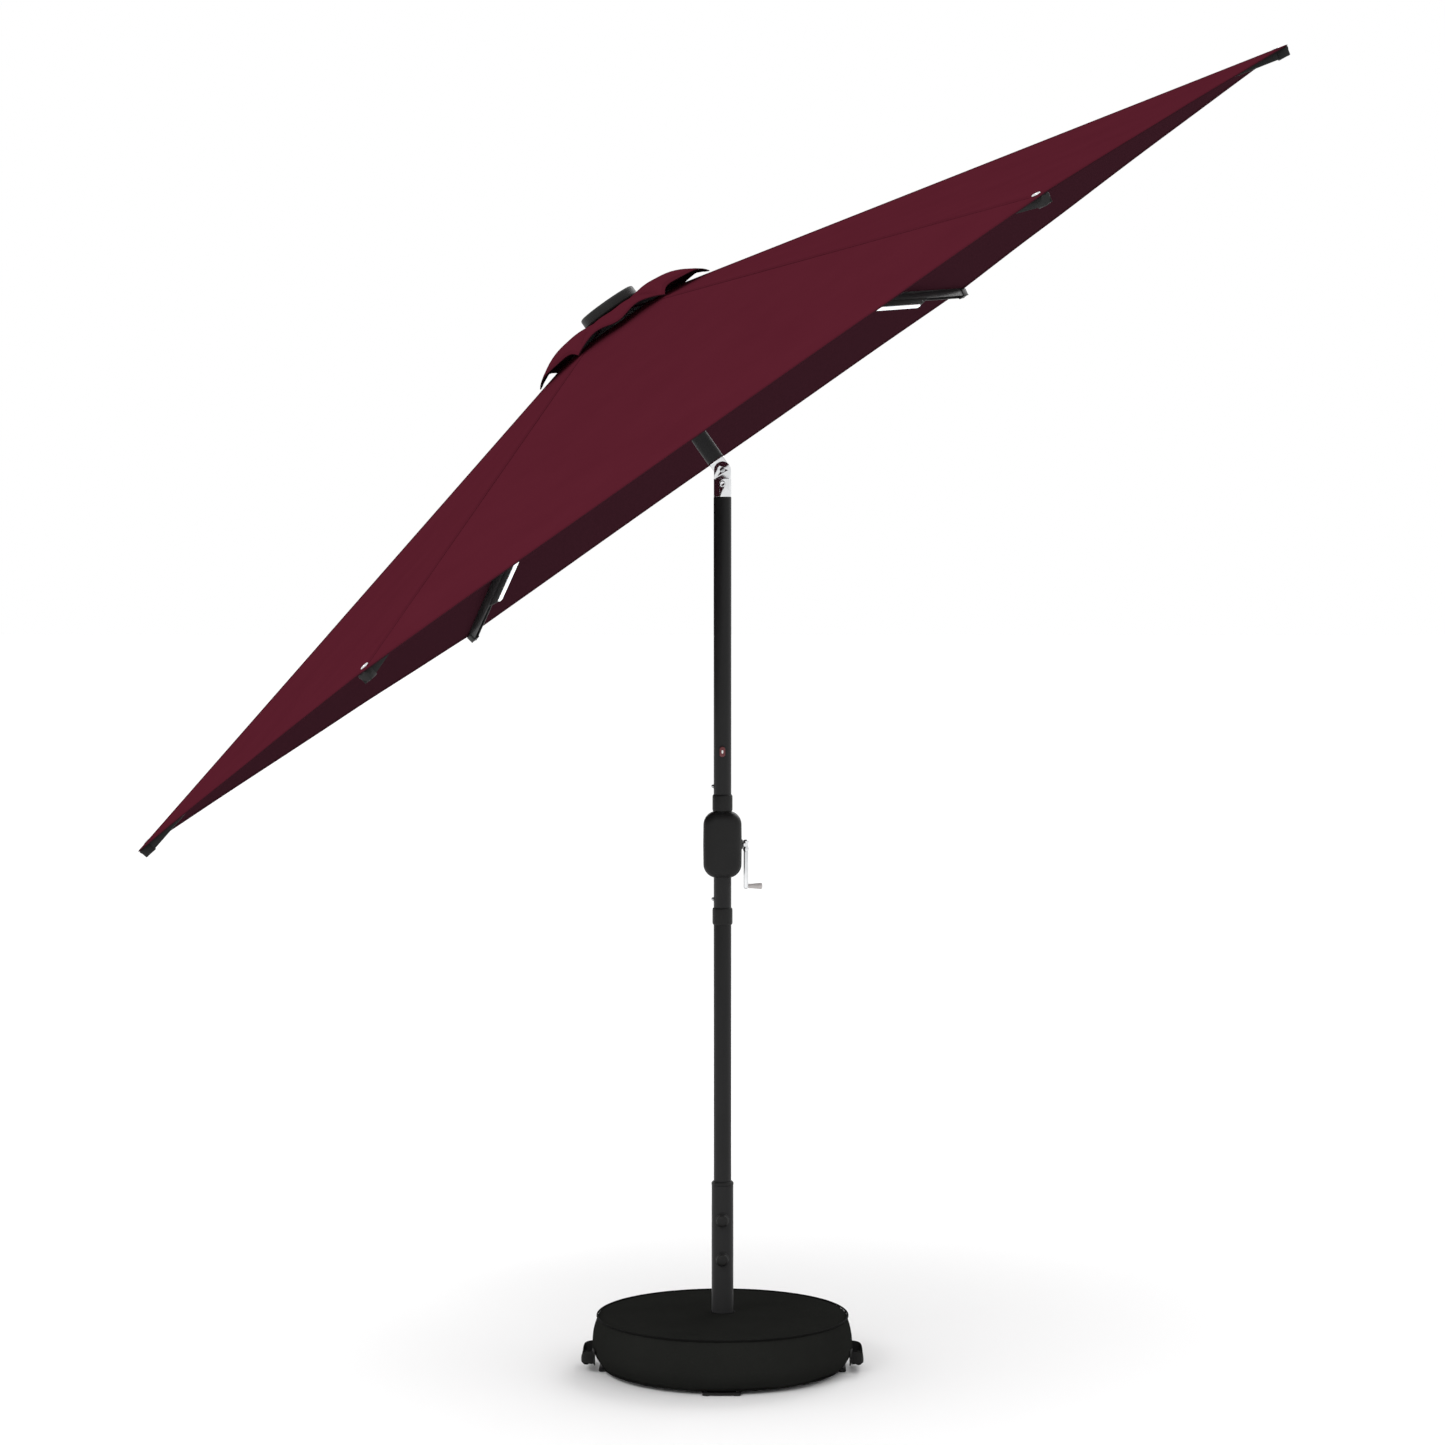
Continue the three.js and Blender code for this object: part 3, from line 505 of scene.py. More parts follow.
def tube_piece(name, node, low_z, high_z, body, place=None):
    """A drawn steel tube that stands for a CAD node."""
    bm = spun([(pole_bore, low_z), (pole_radius, low_z), (pole_radius, high_z), (pole_bore, high_z)], 72)
    rounded(bm, 0.0006, 2)
    made = piece(bm, name, powder_coat, place)
    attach(made, body)
    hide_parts(node)


seams = {}
for name in ("lower_collar", "upper_collar"):
    low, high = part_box(name)
    seams[name] = (low.z + high.z) / 2
    reach = high.x
    bm = spun([
        (0.0193, low.z), (0.0203, low.z), (reach - 0.0003, low.z + 0.0022), (reach, low.z + 0.005),
        (reach, high.z - 0.005), (reach - 0.0003, high.z - 0.0022), (0.0203, high.z), (0.0193, high.z),
    ], 72)
    rounded(bm, 0.0005, 2, 20.0)
    made = piece(bm, f"{name}_sleeve", black_plastic, smooth=50.0)
    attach(made, "pole")
    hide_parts(name)

pole_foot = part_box("lower_pole")[0].z
pole_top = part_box("upper_pole")[1].z
seam_gap = 0.0003
tube_piece("pole_tube_lower", "lower_pole", pole_foot, seams["lower_collar"], "pole")
tube_piece("pole_tube_middle", "crank_pole", seams["lower_collar"] + seam_gap, seams["upper_collar"], "pole")
tube_piece("pole_tube_upper", "upper_pole", seams["upper_collar"] + seam_gap, pole_top, "pole")


# ---- Snap buttons ----
# Bright domed buttons on leaf springs inside the pole lock the tubes together;
# each rises through a rimmed hole in the wall.
steel, wire, shader = new_finish("bright_steel", (0.42, 0.43, 0.44), 0.25, Metallic=1.0)
where = object_place(wire)
mottled(wire, shader, (0.34, 0.35, 0.36), (0.5, 0.51, 0.52), 0.18, 0.34, 120.0, where)
scratch = wire.node("ShaderNodeTexNoise", {}, {"Vector": where, "Scale": 900.0, "Detail": 2.0})
grained(wire, shader, scratch, 0.00005, 0.4)

for name, body in (("snap_button_lower", "snap_lower"), ("snap_button_upper", "snap_upper")):
    low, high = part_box(name)
    centre = (low + high) / 2
    face_left = Matrix.Translation((0.0, 0.0, centre.z)) @ Matrix.Rotation(math.radians(-90), 4, "Y")
    tip = -low.x
    root = -high.x
    bm = spun([
        (0.0, root), (0.0055, root), (0.0055, root + 0.0015), (0.0035, root + 0.0015), (0.0035, tip - 0.002),
        (0.0031, tip - 0.001), (0.0021, tip - 0.0003), (0.0, tip),
    ], 32, closed=False)
    made = piece(bm, f"{name}_dome", steel, face_left, smooth=50.0)
    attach(made, body)
    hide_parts(name)
    bm = spun([(0.0036, 0.0183), (0.0052, 0.0183), (0.0052, 0.01925), (0.0036, 0.0194)], 32)
    rim = piece(bm, f"{name}_hole_rim", black_plastic, face_left)
    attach(rim, "pole")


# ---- Light switch ----
# A soft red rubber push button, moulded round a pale indicator lens, sinks into
# an oval black bezel that is pressed into the pole.
red_rubber, wire, shader = new_finish(
    "red_button", (0.2, 0.006, 0.01), 0.35, Coat_Weight=0.2, Coat_Roughness=0.2)
where = object_place(wire)
mottled(wire, shader, (0.085, 0.003, 0.006), (0.13, 0.005, 0.009), 0.3, 0.42, 300.0, where)
lens_finish, wire, shader = new_finish("indicator_lens", (0.8, 0.78, 0.76), 0.12)
where = object_place(wire)
mottled(wire, shader, (0.76, 0.74, 0.72), (0.85, 0.84, 0.82), 0.08, 0.16, 300.0, where)


def oval(width, tall, back, front, edge):
    """A stadium-shaped pad standing in XZ, from back to front along Y."""
    bm = box_shape((-width / 2, front, -tall / 2), (width / 2, back, tall / 2))
    upright = [e for e in bm.edges if abs(e.verts[0].co.y - e.verts[1].co.y) > 1e-5]
    nearly_half = width / 2 * 0.995
    rounded(bm, nearly_half, 8, edges=upright)
    front_rim = [e for e in bm.edges if all(abs(v.co.y - front) < 1e-6 for v in e.verts)]
    rounded(bm, edge, 3, edges=front_rim)
    return bm


low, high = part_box("light_switch")
switch_at = Matrix.Translation((0.0, 0.0, (low.z + high.z) / 2))
pad_width = high.x - low.x
pad_height = high.z - low.z
pad = oval(pad_width, pad_height, high.y, low.y, 0.0014)
made = piece(pad, "light_switch_pad", red_rubber, switch_at)
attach(made, "light_switch")
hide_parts("light_switch")
lens = oval(0.0038, 0.0072, low.y + 0.0003, low.y - 0.0006, 0.0003)
made = piece(lens, "light_switch_lens", lens_finish, switch_at)
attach(made, "light_switch")
bezel_rim = 0.0034
bezel = oval(pad_width + bezel_rim, pad_height + bezel_rim, -0.0165, -0.0201, 0.0006)
# a well sunk in the bezel's face leaves the pad room to be pressed
well = max((f for f in bezel.faces if f.normal.y < -0.99), key=lambda f: f.calc_area())
bmesh.ops.inset_region(bezel, faces=[well], thickness=0.0009)
well = bmesh.ops.extrude_discrete_faces(bezel, faces=[well])["faces"][0]
bmesh.ops.translate(bezel, verts=well.verts, vec=(0.0, 0.0014, 0.0))
made = piece(bezel, "light_switch_bezel", black_plastic, switch_at)
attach(made, "pole")


# ---- Crank housing ----
# Two moulded half shells close round the pole at a fine parting line, held by
# four screws from behind; a bushed hole on the right lets the crank's axle out.
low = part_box("housing_front")[0]
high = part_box("housing_rear")[1]
middle = (low + high) / 2
half = (high - low) / 2
parting = 0.00025


def housing_shape():
    """Both halves of the housing in one block, before the parting cut."""
    bm = box_shape(low, high)
    corners = [e for e in bm.edges if abs(e.verts[0].co.y - e.verts[1].co.y) > 1e-4]
    rounded(bm, 0.0285, 16, edges=corners)
    bmesh.ops.bisect_plane(bm, geom=list(bm.verts) + list(bm.edges) + list(bm.faces), dist=1e-7,
                           plane_co=(0.0, 0.0, middle.z), plane_no=(0.0, 0.0, 1.0))
    rims = sharp_edges(bm, 60.0)
    rounded(bm, 0.0185, 10, edges=rims)
    for vert in bm.verts:
        # barrel sides and gently crowned faces
        across = (vert.co.x - middle.x) / half.x
        up = (vert.co.z - middle.z) / half.z
        vert.co.x = middle.x + (vert.co.x - middle.x) * (1.0 - 0.035 * up * up)
        vert.co.y = middle.y + (vert.co.y - middle.y) * (1.0 - 0.05 * across * across - 0.03 * up * up)
    return bm


for name, sign in (("housing_front", -1.0), ("housing_rear", 1.0)):
    bm = housing_shape()
    bmesh.ops.bisect_plane(bm, geom=list(bm.verts) + list(bm.edges) + list(bm.faces), dist=1e-7,
                           plane_co=(0.0, sign * parting, 0.0), plane_no=(0.0, -sign, 0.0), clear_outer=True)
    bmesh.ops.solidify(bm, geom=bm.faces, thickness=0.0025)
    rims = [e for e in sharp_edges(bm, 50.0) if all(abs(v.co.y - sign * parting) < 1e-5 for v in e.verts)]
    rounded(bm, 0.0004, 2, edges=rims)
    made = piece(bm, f"{name}_shell", black_plastic, smooth=45.0)
    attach(made, "pole")
    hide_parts(name)

screw_profile = [(0.0, -0.001), (0.0034, -0.001), (0.0034, 0.0008), (0.0024, 0.0016), (0.0, 0.0018)]
for row, z in enumerate((low.z + 0.026, high.z - 0.026)):
    for column, x in enumerate((low.x + 0.017, high.x - 0.017)):
        bm = spun(screw_profile, 24, closed=False)
        back = Matrix.Translation((x, high.y - 0.0031, z)) @ Matrix.Rotation(math.radians(-90), 4, "X")
        made = piece(bm, f"housing_screw_{row}{column}", steel, back)
        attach(made, "pole")

crank_joint = next(j for j in frame["joints"] if j["name"] == "crank_turn")
axle = Matrix.Translation(crank_joint["pos_m"]) @ Matrix.Rotation(math.radians(90), 4, "Y")
bm = spun([(0.0046, high.x - 0.004), (0.011, high.x - 0.004), (0.0105, high.x + 0.0012),
           (0.0088, high.x + 0.0024), (0.0046, high.x + 0.0024)], 40)
rounded(bm, 0.0004, 2, 25.0)
made = piece(bm, "axle_bush", black_plastic, axle)
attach(made, "pole")


# ---- Crank: drum, arm and grip ----
# A chromed arm, pressed on the drum's axle, winds the cord; a tapered pale grip
# spins on the pin at its end.
chrome, wire, shader = new_finish("chrome", (0.72, 0.73, 0.74), 0.1, Metallic=1.0)
where = object_place(wire)
mottled(wire, shader, (0.58, 0.59, 0.6), (0.78, 0.79, 0.8), 0.04, 0.14, 60.0, where)
ripple = wire.node("ShaderNodeTexNoise", {}, {"Vector": where, "Scale": 45.0, "Detail": 2.0})
grained(wire, shader, ripple, 0.0002, 0.12)

made = piece(trued("winding_drum", 0.0003), "drum_and_axle", steel)
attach(made, "crank")
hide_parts("winding_drum")
arm_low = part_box("crank_arm")[0]
arm_face = arm_low.x
arm_thick = 0.010
arm_middle = arm_face + arm_thick / 2
axle_height = crank_joint["pos_m"][2]
bm = box_shape((arm_face, -0.0052, arm_low.z + 0.0004), (arm_face + arm_thick, 0.0052, axle_height - 0.014))
rounded(bm, 0.0030, 4, degrees=60.0)
made = piece(bm, "crank_arm_bar", chrome)
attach(made, "crank")
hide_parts("crank_arm")
bm = spun([
    (0.0, -0.0155), (0.0050, -0.0155), (0.0056, -0.0140), (0.0062, -0.0115), (0.0062, -0.0080),
    (0.0050, -0.0060), (0.0046, -0.0030), (0.0046, 0.0010), (0.0056, 0.0030), (0.0064, 0.0058),
    (0.0060, 0.0082), (0.0036, 0.0100), (0.0, 0.0105),
], 40, closed=False)
made = piece(bm, "crank_knuckle", chrome, Matrix.Translation((arm_middle, 0.0, axle_height)), smooth=60.0)
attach(made, "crank")
bm = spun([(0.0, arm_face - 0.0012), (0.0068, arm_face - 0.0012), (0.0074, arm_face), (0.0074, arm_middle),
           (0.0, arm_middle)], 40, closed=False)
rounded(bm, 0.0004, 2, 20.0)
made = piece(bm, "crank_hub", chrome, axle)
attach(made, "crank")

pale_plastic, wire, shader = new_finish("pale_plastic", (0.5, 0.47, 0.46), 0.35)
where = object_place(wire)
mottled(wire, shader, (0.44, 0.41, 0.40), (0.56, 0.53, 0.52), 0.3, 0.45, 90.0, where)
low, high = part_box("crank_grip")
grip_axis = Matrix.Translation((0.0, 0.0, (low.z + high.z) / 2)) @ Matrix.Rotation(math.radians(90), 4, "Y")
bm = spun([
    (0.0, low.x), (0.0042, low.x), (0.0050, low.x + 0.0012), (0.0049, low.x + 0.006), (0.0056, low.x + 0.014),
    (0.0064, low.x + 0.022), (0.0067, low.x + 0.027), (0.0060, high.x - 0.0008), (0.0, high.x),
], 40, closed=False)
made = piece(bm, "crank_grip_sleeve", pale_plastic, grip_axis, smooth=50.0)
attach(made, "grip")
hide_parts("crank_grip")


# ---- Tilt joint ----
# A chromed clevis on the pole and a knuckle under the mast meet on a cross pin;
# a round push button below the pin frees the lock.
for node, name, body in (("tilt_clevis", "clevis", "pole"), ("tilt_knuckle", "knuckle", "mast")):
    made = piece(trued(node, 0.0009, 3), f"tilt_{name}_body", chrome)
    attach(made, body)
    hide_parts(node)
pivot = Vector(next(j for j in frame["joints"] if j["name"] == "tilt")["pos_m"])
pin_low, pin_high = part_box("tilt_pin")
pin_axis = Matrix.Translation((0.0, 0.0, pivot.z)) @ Matrix.Rotation(math.radians(90), 4, "X")
bm = spun([
    (0.0, -pin_high.y), (0.0044, -pin_high.y), (0.0058, -pin_high.y + 0.001), (0.0039, -pin_high.y + 0.0016),
    (0.0039, -pin_low.y - 0.0016), (0.0058, -pin_low.y - 0.001), (0.0044, -pin_low.y), (0.0, -pin_low.y),
], 40, closed=False)
made = piece(bm, "tilt_pin_rivet", steel, pin_axis)
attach(made, "pole")
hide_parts("tilt_pin")
low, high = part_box("tilt_button")
button_axis = Matrix.Translation((0.0, 0.0, (low.z + high.z) / 2)) @ Matrix.Rotation(math.radians(90), 4, "X")
reach = (high.x - low.x) / 2
bm = spun([
    (0.0, -high.y), (reach, -high.y), (reach, -low.y - 0.0012), (reach - 0.0012, -low.y), (0.0042, -low.y),
    (0.0036, -low.y - 0.0006), (0.0, -low.y - 0.0007),
], 48, closed=False)
rounded(bm, 0.0003, 2, 25.0)
made = piece(bm, "tilt_button_cap", chrome, button_axis)
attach(made, "tilt_button")
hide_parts("tilt_button")


# ---- Mast, crown, runner and pulley ----
# Everything above the pivot leans with the mast: the tube, the moulded crown
# that the ribs hinge in, the pulley below it and the runner that lifts the struts.
lift_joint = next(j for j in frame["joints"] if j["name"] == "canopy_lift")
mast_up = -Vector(lift_joint["axis"])
lean = Matrix.Translation(pivot) @ Matrix.Rotation(math.atan2(mast_up.x, mast_up.z), 4, "Y")
upright = lean.inverted()


def along_mast(node):
    """Lowest and highest height of a node above the pivot, measured up the mast."""
    heights = [(upright @ v.co).z for v in frame["nodes"][node].data.vertices]
    return min(heights), max(heights)


mast_low, mast_high = along_mast("mast_tube")
tube_piece("mast_tube_wall", "mast_tube", mast_low, mast_high, "mast", place=lean)
for node, body, material, slot in (
    ("crown_hub", "mast", black_plastic, "black_plastic"),
    ("runner", "runner", black_plastic, "black_plastic"),
    ("crown_pulley", "mast", steel, "steel"),
):
    made = piece(trued(node, 0.0005), f"{node}_moulding", material)
    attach(made, body)
    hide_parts(node)


# ---- Ribs, end caps, struts and light bars ----
# Six channel ribs fan out from the crown, each pushed up by a strut. Under each
# rib hangs a light bar with a white diffuser, and each end wears a black cap.
sector = math.pi / 6
canopy_radius = 1.5
canopy_rise = 0.362
slope = math.atan2(canopy_rise, canopy_radius)
rib_half_height = 0.010
hinge_reach = 0.030
diffuser_finish, wire, shader = new_finish("light_diffuser", (0.86, 0.87, 0.88), 0.3, Subsurface_Weight=0.2)
where = object_place(wire)
mottled(wire, shader, (0.83, 0.84, 0.85), (0.9, 0.9, 0.91), 0.26, 0.36, 60.0, where)
shader.inputs["Emission Color"].default_value = (1.0, 1.0, 1.0, 1.0)
shader.inputs["Emission Strength"].default_value = 0.5

rib_length = (canopy_radius - 0.006 - hinge_reach) / math.cos(slope)
light_end = rib_length - 0.228
light_length = 0.560
light_height = 0.016
light_low = -rib_half_height - 0.0003 - light_height
for k in range(6):
    number = k + 1
    rib_joint = next(j for j in frame["joints"] if j["name"] == f"rib_{number}_fold")
    hinge = upright @ Vector(rib_joint["pos_m"])
    turn = Matrix.Rotation(2 * sector * k, 4, "Z")
    arm = lean @ turn @ Matrix.Translation((hinge_reach, 0.0, hinge.z)) @ Matrix.Rotation(slope, 4, "Y")
    for node, body in ((f"rib_{number}", f"rib_{number}"), (f"strut_{number}", f"strut_{number}")):
        made = piece(trued(node, 0.0005), f"{node}_bar", powder_coat)
        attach(made, body)
        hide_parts(node)
    made = piece(trued(f"light_bar_{number}", 0.0014, 3), f"light_housing_{number}", black_plastic)
    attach(made, f"rib_{number}")
    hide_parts(f"light_bar_{number}")

    bm = box_shape((light_end - light_length + 0.010, -0.0066, light_low - 0.0030),
                   (light_end - 0.024, 0.0066, light_low + 0.001))
    ends = [e for e in bm.edges if abs(e.verts[0].co.z - e.verts[1].co.z) > 1e-4]
    rounded(bm, 0.0064, 8, edges=ends)
    face = [e for e in bm.edges if all(abs(v.co.z - (light_low - 0.0030)) < 1e-6 for v in e.verts)]
    rounded(bm, 0.0018, 3, edges=face)
    made = piece(bm, f"light_diffuser_{number}", diffuser_finish, arm)
    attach(made, f"rib_{number}")

    bm = box_shape((rib_length - 0.026, -0.0088, -0.0128), (rib_length + 0.0020, 0.0088, 0.0092))
    for vert in bm.verts:
        if vert.co.x > rib_length and vert.co.z < 0:
            vert.co.x -= 0.004
            vert.co.z += 0.003
    rounded(bm, 0.0022, 3)
    made = piece(bm, f"rib_end_cap_{number}", black_plastic, arm)
    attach(made, f"rib_{number}")

    for label, spot in (("inner", light_end - light_length + 0.02), ("outer", light_end - 0.012)):
        bm = spun([(0.0, -0.0008), (0.0024, -0.0008), (0.0021, 0.0006), (0.0, 0.0011)], 20, closed=False)
        screw = arm @ Matrix.Translation((spot, -0.0085, light_low + 0.009))
        screw = screw @ Matrix.Rotation(math.radians(90), 4, "X")
        made = piece(bm, f"light_rivet_{label}_{number}", steel, screw)
        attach(made, f"rib_{number}")


# ---- Canopy cloth ----
# One hexagonal canopy of burgundy woven polyester, sewn from six gores along the
# ribs and turned under at the hem. It is stretched tight, sagging a little between
# ribs, and each rib carries the cloth on its two sides, which moves with the rib.
def cloth_finish(name, dark, light, under):
    """Woven cloth; its inner face, marked by a shifted UV, is painted darker as the shade under the canopy."""
    material, wire, shader = new_finish(name, light, 0.8, Specular_IOR_Level=0.0)
    where = wire.node("ShaderNodeUVMap", {"uv_map": "cloth"})
    cloud = wire.node("ShaderNodeTexNoise", {}, {"Vector": where, "Scale": 7.0, "Detail": 5.0})
    outside = wire.node("ShaderNodeMix", {"data_type": "RGBA"},
                        {0: cloud, 6: (*dark, 1.0), 7: (*light, 1.0)}, out=2)
    # faces that look down take the darker under colour: painted shade under the canopy
    inner = wire.node("ShaderNodeSeparateXYZ", {}, {0: where}) > 5.0
    blend = wire.node("ShaderNodeMix", {"data_type": "RGBA"}, {0: inner, 6: outside, 7: (*under, 1.0)}, out=2)
    blend.to(shader, "Base Color")
    (cloud * 0.14 + 0.74).to(shader, "Roughness")
    warp = wire.node("ShaderNodeTexWave", {"bands_direction": "X"}, {"Vector": where, "Scale": 220.0})
    weft = wire.node("ShaderNodeTexWave", {"bands_direction": "Y"}, {"Vector": where, "Scale": 220.0})
    slub = wire.node("ShaderNodeTexNoise", {}, {"Vector": where, "Scale": 420.0, "Detail": 2.0})
    grained(wire, shader, warp + weft + slub * 0.6, 0.00004, 0.3)
    return material


def mark_painted_shade_underside(bm, uv):
    """Shifts the UVs of the faces that look down, so the painted shade on the cloth's underside can be told from its
    top.
    """
    for face in bm.faces:
        if face.normal.z < -0.2:
            for loop in face.loops:
                loop[uv].uv.x += 10.0


# under: the darker colour of the cloth's downward faces, painted shade under the canopy and vent cap
canopy_cloth = cloth_finish(
    "canopy_cloth", dark=(0.062, 0.0082, 0.0152), light=(0.072, 0.0102, 0.0182), under=(0.032, 0.0090, 0.0140))
hem_cloth = cloth_finish(
    "hem_cloth", dark=(0.054, 0.0072, 0.0135), light=(0.065, 0.0090, 0.0162), under=(0.028, 0.0076, 0.0118))
hem_height = 0.050
apex_height = hem_height + canopy_rise
vent_opening = 0.150
hem_distance = canopy_radius * math.cos(sector)
vent_distance = vent_opening * math.cos(sector)
gore_slope = math.atan2(canopy_rise, hem_distance)
gore_sag = 0.0085
ripple_height = 0.0011
hem_dip = 0.009
cloth_thick = 0.0012
hem_lift = 0.0005


def canopy_height(out, across, x, y):
    """Top of the cloth above the pivot: out from the apex along a gore, across from its middle."""
    half_width = out * math.tan(sector)
    share = min(abs(across) / max(half_width, 1e-6), 1.0)
    radial = (out - vent_distance) / (hem_distance - vent_distance)
    sag = gore_sag * (1.0 - share * share) * math.sin(math.pi * min(max(radial, 0.0), 1.0)) ** 0.9
    tension = ripple_height * noise.noise(Vector((x * 3.0, y * 3.0, 1.0))) * (1.0 - share ** 4)
    return apex_height - canopy_rise * out / hem_distance - sag + tension


def walled(bm, thick):
    """Turns a sheet's faces up and gives it its thickness below."""
    bmesh.ops.recalc_face_normals(bm, faces=bm.faces)
    if sum(f.normal.z for f in bm.faces) < 0:
        bmesh.ops.reverse_faces(bm, faces=bm.faces)
    bmesh.ops.solidify(bm, geom=bm.faces, thickness=thick)


def cloth_patch(number, u_span, cells, lift, thick, name, material):
    """Part of the cloth over one rib. u runs from vent to hem; v is 0 on the rib and 1 mid-gore."""
    bm = bmesh.new()
    bmesh.ops.create_grid(bm, x_segments=cells[0], y_segments=cells[1], size=1.0)
    uv = bm.loops.layers.uv.new("cloth")
    rib_turn = Matrix.Rotation(2 * sector * (number - 1), 4, "Z")
    flat = {}
    for vert in bm.verts:
        u = u_span[0] + (u_span[1] - u_span[0]) * (vert.co.x + 1.0) / 2
        v = vert.co.y
        side = -1.0 if v < 0 else 1.0
        lean_out = math.tan(sector) * (1.0 - abs(v))
        edge_share = lean_out / math.tan(sector)
        dip = hem_dip * (1.0 - edge_share ** 2)
        out = vent_distance + (hem_distance - dip - vent_distance) * u
        across = out * lean_out
        x = out * math.cos(sector) + across * math.sin(sector)
        y = side * (out * math.sin(sector) - across * math.cos(sector))
        flat_place = rib_turn @ Vector((x, y, 0.0))
        z = canopy_height(out, across, flat_place.x, flat_place.y) + lift
        vert.co = (x, y, z)
        flat[vert] = (across, out, v)
    for face in bm.faces:
        side = 1.0 if sum(flat[v][2] for v in face.verts) > 0 else -1.0
        for loop in face.loops:
            across, out, v = flat[loop.vert]
            loop[uv].uv = (-side * across, out / math.cos(gore_slope))
    walled(bm, thick)
    mark_painted_shade_underside(bm, uv)
    return piece(bm, name, material, lean @ rib_turn, smooth=50.0)


for k in range(6):
    number = k + 1
    rib_joint = next(j for j in frame["joints"] if j["name"] == f"rib_{number}_fold")
    cloth = cloth_patch(number, (0.0, 1.0), (44, 32), 0.0, cloth_thick, f"canopy_cloth_{number}", canopy_cloth)
    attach(cloth, f"rib_{number}")
    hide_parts(f"canopy_panel_{number}")
    hem = cloth_patch(number, (0.9885, 0.9995), (2, 48), hem_lift, 0.0023, f"canopy_hem_{number}", hem_cloth)
    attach(hem, f"rib_{number}")
    for soft in (cloth, hem):
        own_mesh(soft)

    bm = bmesh.new()
    bmesh.ops.create_grid(bm, x_segments=60, y_segments=4, size=1.0)
    uv = bm.loops.layers.uv.new("cloth")
    seam_half = 0.0075
    for vert in bm.verts:
        x = vent_opening + (canopy_radius - 0.003 - vent_opening) * (vert.co.x + 1.0) / 2
        side_share = vert.co.y
        y = seam_half * side_share * min(1.0, (canopy_radius - x) / seam_half * 0.55)
        fall = abs(y) * (canopy_rise / hem_distance) * math.sin(sector)
        stand = 0.0009 * (1.0 - 0.6 * abs(side_share) ** 6)
        vert.co = (x, y, apex_height - canopy_rise * x / canopy_radius - fall + stand)
    for face in bm.faces:
        for loop in face.loops:
            loop[uv].uv = (loop.vert.co.y, loop.vert.co.x)
    walled(bm, 0.0008)
    rib_turn = Matrix.Rotation(2 * sector * k, 4, "Z")
    seam = piece(bm, f"canopy_seam_{number}", hem_cloth, lean @ rib_turn, smooth=60.0)
    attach(seam, f"rib_{number}")

    eyelet_at = canopy_radius - 0.027
    eyelet_z = apex_height - canopy_rise * eyelet_at / canopy_radius
    spot = lean @ rib_turn @ Matrix.Translation((eyelet_at, 0.0, eyelet_z)) @ Matrix.Rotation(slope, 4, "Y")
    bm = spun([
        (0.0042, -0.0006), (0.0085, -0.0004), (0.0088, 0.0006),
        (0.0076, 0.0018), (0.0058, 0.0021), (0.0044, 0.0012),
    ], 40)
    made = piece(bm, f"grommet_{number}", chrome, spot, smooth=60.0)
    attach(made, f"rib_{number}")


# ---- Vent cap ----
# A small hexagonal cloth cone covers the opening at the top. It is pinned at its
# six corners, and its edges stand off in loose waves that let the wind through.
vent_radius = 0.221
vent_low, vent_high = along_mast("vent_cap")
vent_hole = 0.0122
shoulder = 0.054
top_fall = 0.0013
dome_height = 0.0105
lobe_height = 0.0210
corner_tuck = 0.0090
vent_rim = vent_low + cloth_thick
# how far each side stands off: its one long lobe and its two short waves
vent_lobes = ((0.80, 0.0), (0.30, 0.40), (0.30, 0.40), (0.80, 0.0), (0.25, 0.42), (1.00, 0.0))


def vent_patch(u_span, cells, lift, thick, name, material):
    """The cap's cloth, or a band of it. u runs from the hole in its middle to its edge."""
    bm = bmesh.new()
    bmesh.ops.create_grid(bm, x_segments=cells[0], y_segments=cells[1], size=1.0)
    uv = bm.loops.layers.uv.new("cloth")
    for vert in bm.verts:
        u = u_span[0] + (u_span[1] - u_span[0]) * (vert.co.x + 1.0) / 2
        angle = math.pi * (vert.co.y + 1.0)
        sides = angle / (2 * sector)
        side_number = int(sides + 1e-6) % 6
        side = min(max(sides - int(sides + 1e-6), 0.0), 1.0)
        corner = abs(2 * side - 1.0)
        straight = math.cos(sector) / math.cos((side - 0.5) * 2 * sector)
        # each loose side stands off the canopy, in one long lobe at the two ends and in two elsewhere
        lobe, waves = vent_lobes[side_number]
        lobe *= 1.0 - corner ** 5
        waves *= math.sin(math.tau * side) ** 2
        outer = vent_radius * straight * (1.0 - 0.020 * (lobe + waves))
        base_r = vent_hole + (vent_radius - vent_hole) * u
        share = max(0.0, (base_r - shoulder) / (vent_radius - shoulder))
        r = base_r if base_r < shoulder else shoulder + (outer - shoulder) * share
        height = vent_high - top_fall * min(base_r / shoulder, 1.0) - (vent_high - top_fall - vent_rim) * share
        height += dome_height * math.sin(math.pi * share) * (0.75 + 0.25 * share)
        rise_wave = lobe_height * (lobe * share ** 1.5 * (1.9 - 1.5 * share ** 3) + waves * share ** 1.8)
        tuck = -corner_tuck * corner ** 8 * share ** 2
        vert.co = (r * math.cos(angle), r * math.sin(angle), height + rise_wave + tuck + lift)
    bmesh.ops.remove_doubles(bm, verts=bm.verts, dist=1e-5)
    for face in bm.faces:
        for loop in face.loops:
            loop[uv].uv = (loop.vert.co.x, loop.vert.co.y)
    walled(bm, thick)
    mark_painted_shade_underside(bm, uv)
    return piece(bm, name, material, lean, smooth=50.0)


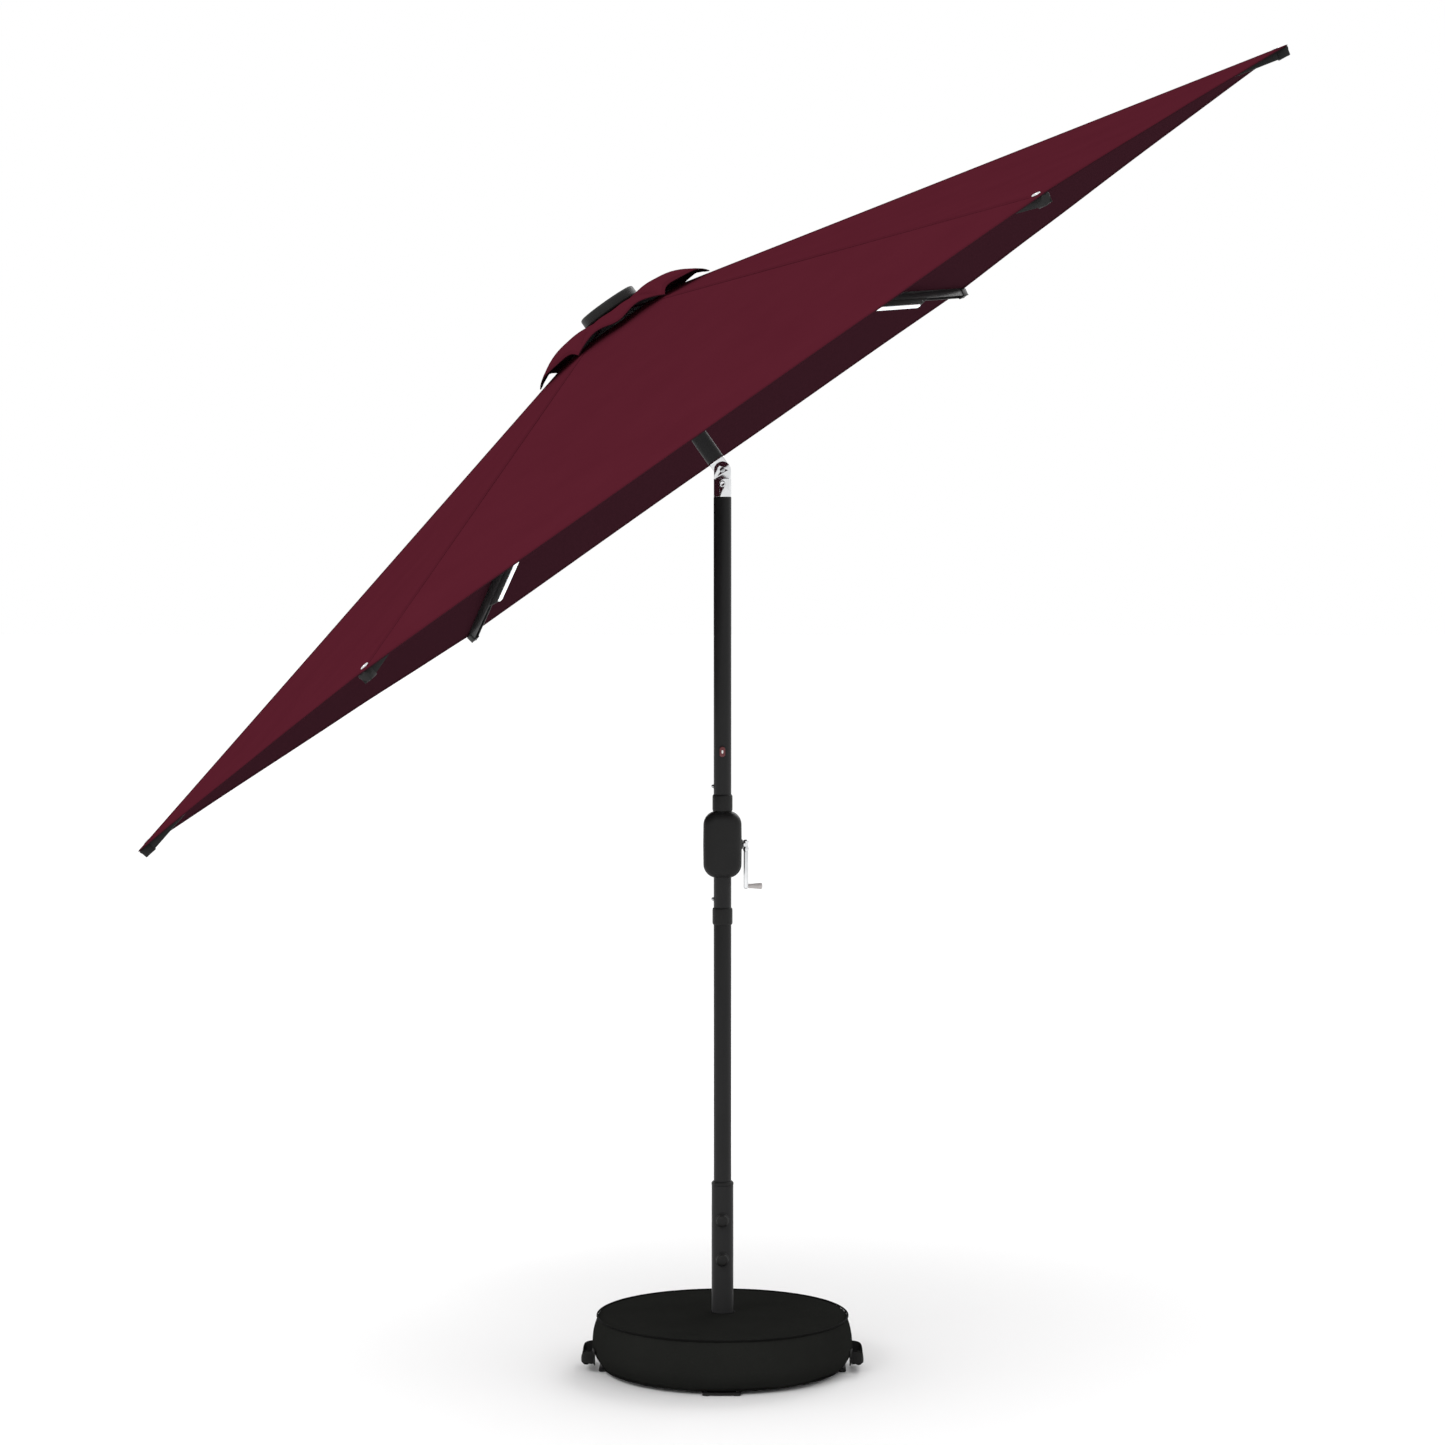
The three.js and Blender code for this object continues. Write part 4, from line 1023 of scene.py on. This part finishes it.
vent = vent_patch((0.0, 1.0), (26, 192), 0.0, cloth_thick, "vent_cap_cloth", canopy_cloth)
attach(vent, "mast")
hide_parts("vent_cap")
vent_hem = vent_patch((0.955, 0.999), (2, 192), hem_lift, 0.0022, "vent_cap_hem", hem_cloth)
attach(vent_hem, "mast")


# ---- Solar lamp cap ----
# A moulded disc on a stem through the vent cap carries the battery; its top is a
# round solar panel of dark cells with fine silver lines under clear glass.
cap_low, cap_high = along_mast("solar_cap")
disc_low = cap_high - 0.0245
cap_radius = 0.067
stem_radius = 0.008
bm = spun([
    (0.0, cap_low), (stem_radius, cap_low), (stem_radius, disc_low), (cap_radius - 0.006, disc_low),
    (cap_radius - 0.0012, disc_low + 0.0030), (cap_radius, disc_low + 0.0055), (cap_radius, cap_high - 0.0042),
    (cap_radius - 0.0014, cap_high - 0.0016), (cap_radius - 0.0042, cap_high), (0.0570, cap_high),
    (0.0563, cap_high - 0.0023), (0.0, cap_high - 0.0023),
], 128, closed=False)
rounded(bm, 0.0004, 2, 20.0)
made = piece(bm, "solar_cap_shell", black_plastic, lean, smooth=50.0)
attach(made, "mast")
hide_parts("solar_cap")

solar_cells, wire, shader = new_finish(
    "solar_cells", (0.01, 0.014, 0.028), 0.12, Coat_Weight=0.5, Coat_Roughness=0.04)
spot = wire.node("ShaderNodeUVMap", {"uv_map": "cloth"})
brick = wire.node("ShaderNodeTexBrick", {"offset": 0.0}, {
    "Vector": spot, "Color1": (0.008, 0.012, 0.030, 1.0), "Color2": (0.012, 0.016, 0.036, 1.0),
    "Mortar": (0.35, 0.36, 0.38, 1.0), "Scale": 1.0, "Mortar Size": 0.00025,
    "Brick Width": 0.026, "Row Height": 0.013,
})
brick.to(shader, "Base Color")
panel_radius = 0.0560
panel_top = cap_high - 0.0002
bm = spun([
    (0.0, panel_top - 0.0018), (panel_radius, panel_top - 0.0018), (panel_radius, panel_top - 0.0004),
    (panel_radius - 0.0006, panel_top), (0.03, panel_top), (0.0, panel_top),
], 96, closed=False)
uv = bm.loops.layers.uv.new("cloth")
for face in bm.faces:
    for loop in face.loops:
        loop[uv].uv = (loop.vert.co.x, loop.vert.co.y)
made = piece(bm, "solar_panel_glass", solar_cells, lean)
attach(made, "mast")
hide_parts("solar_panel")
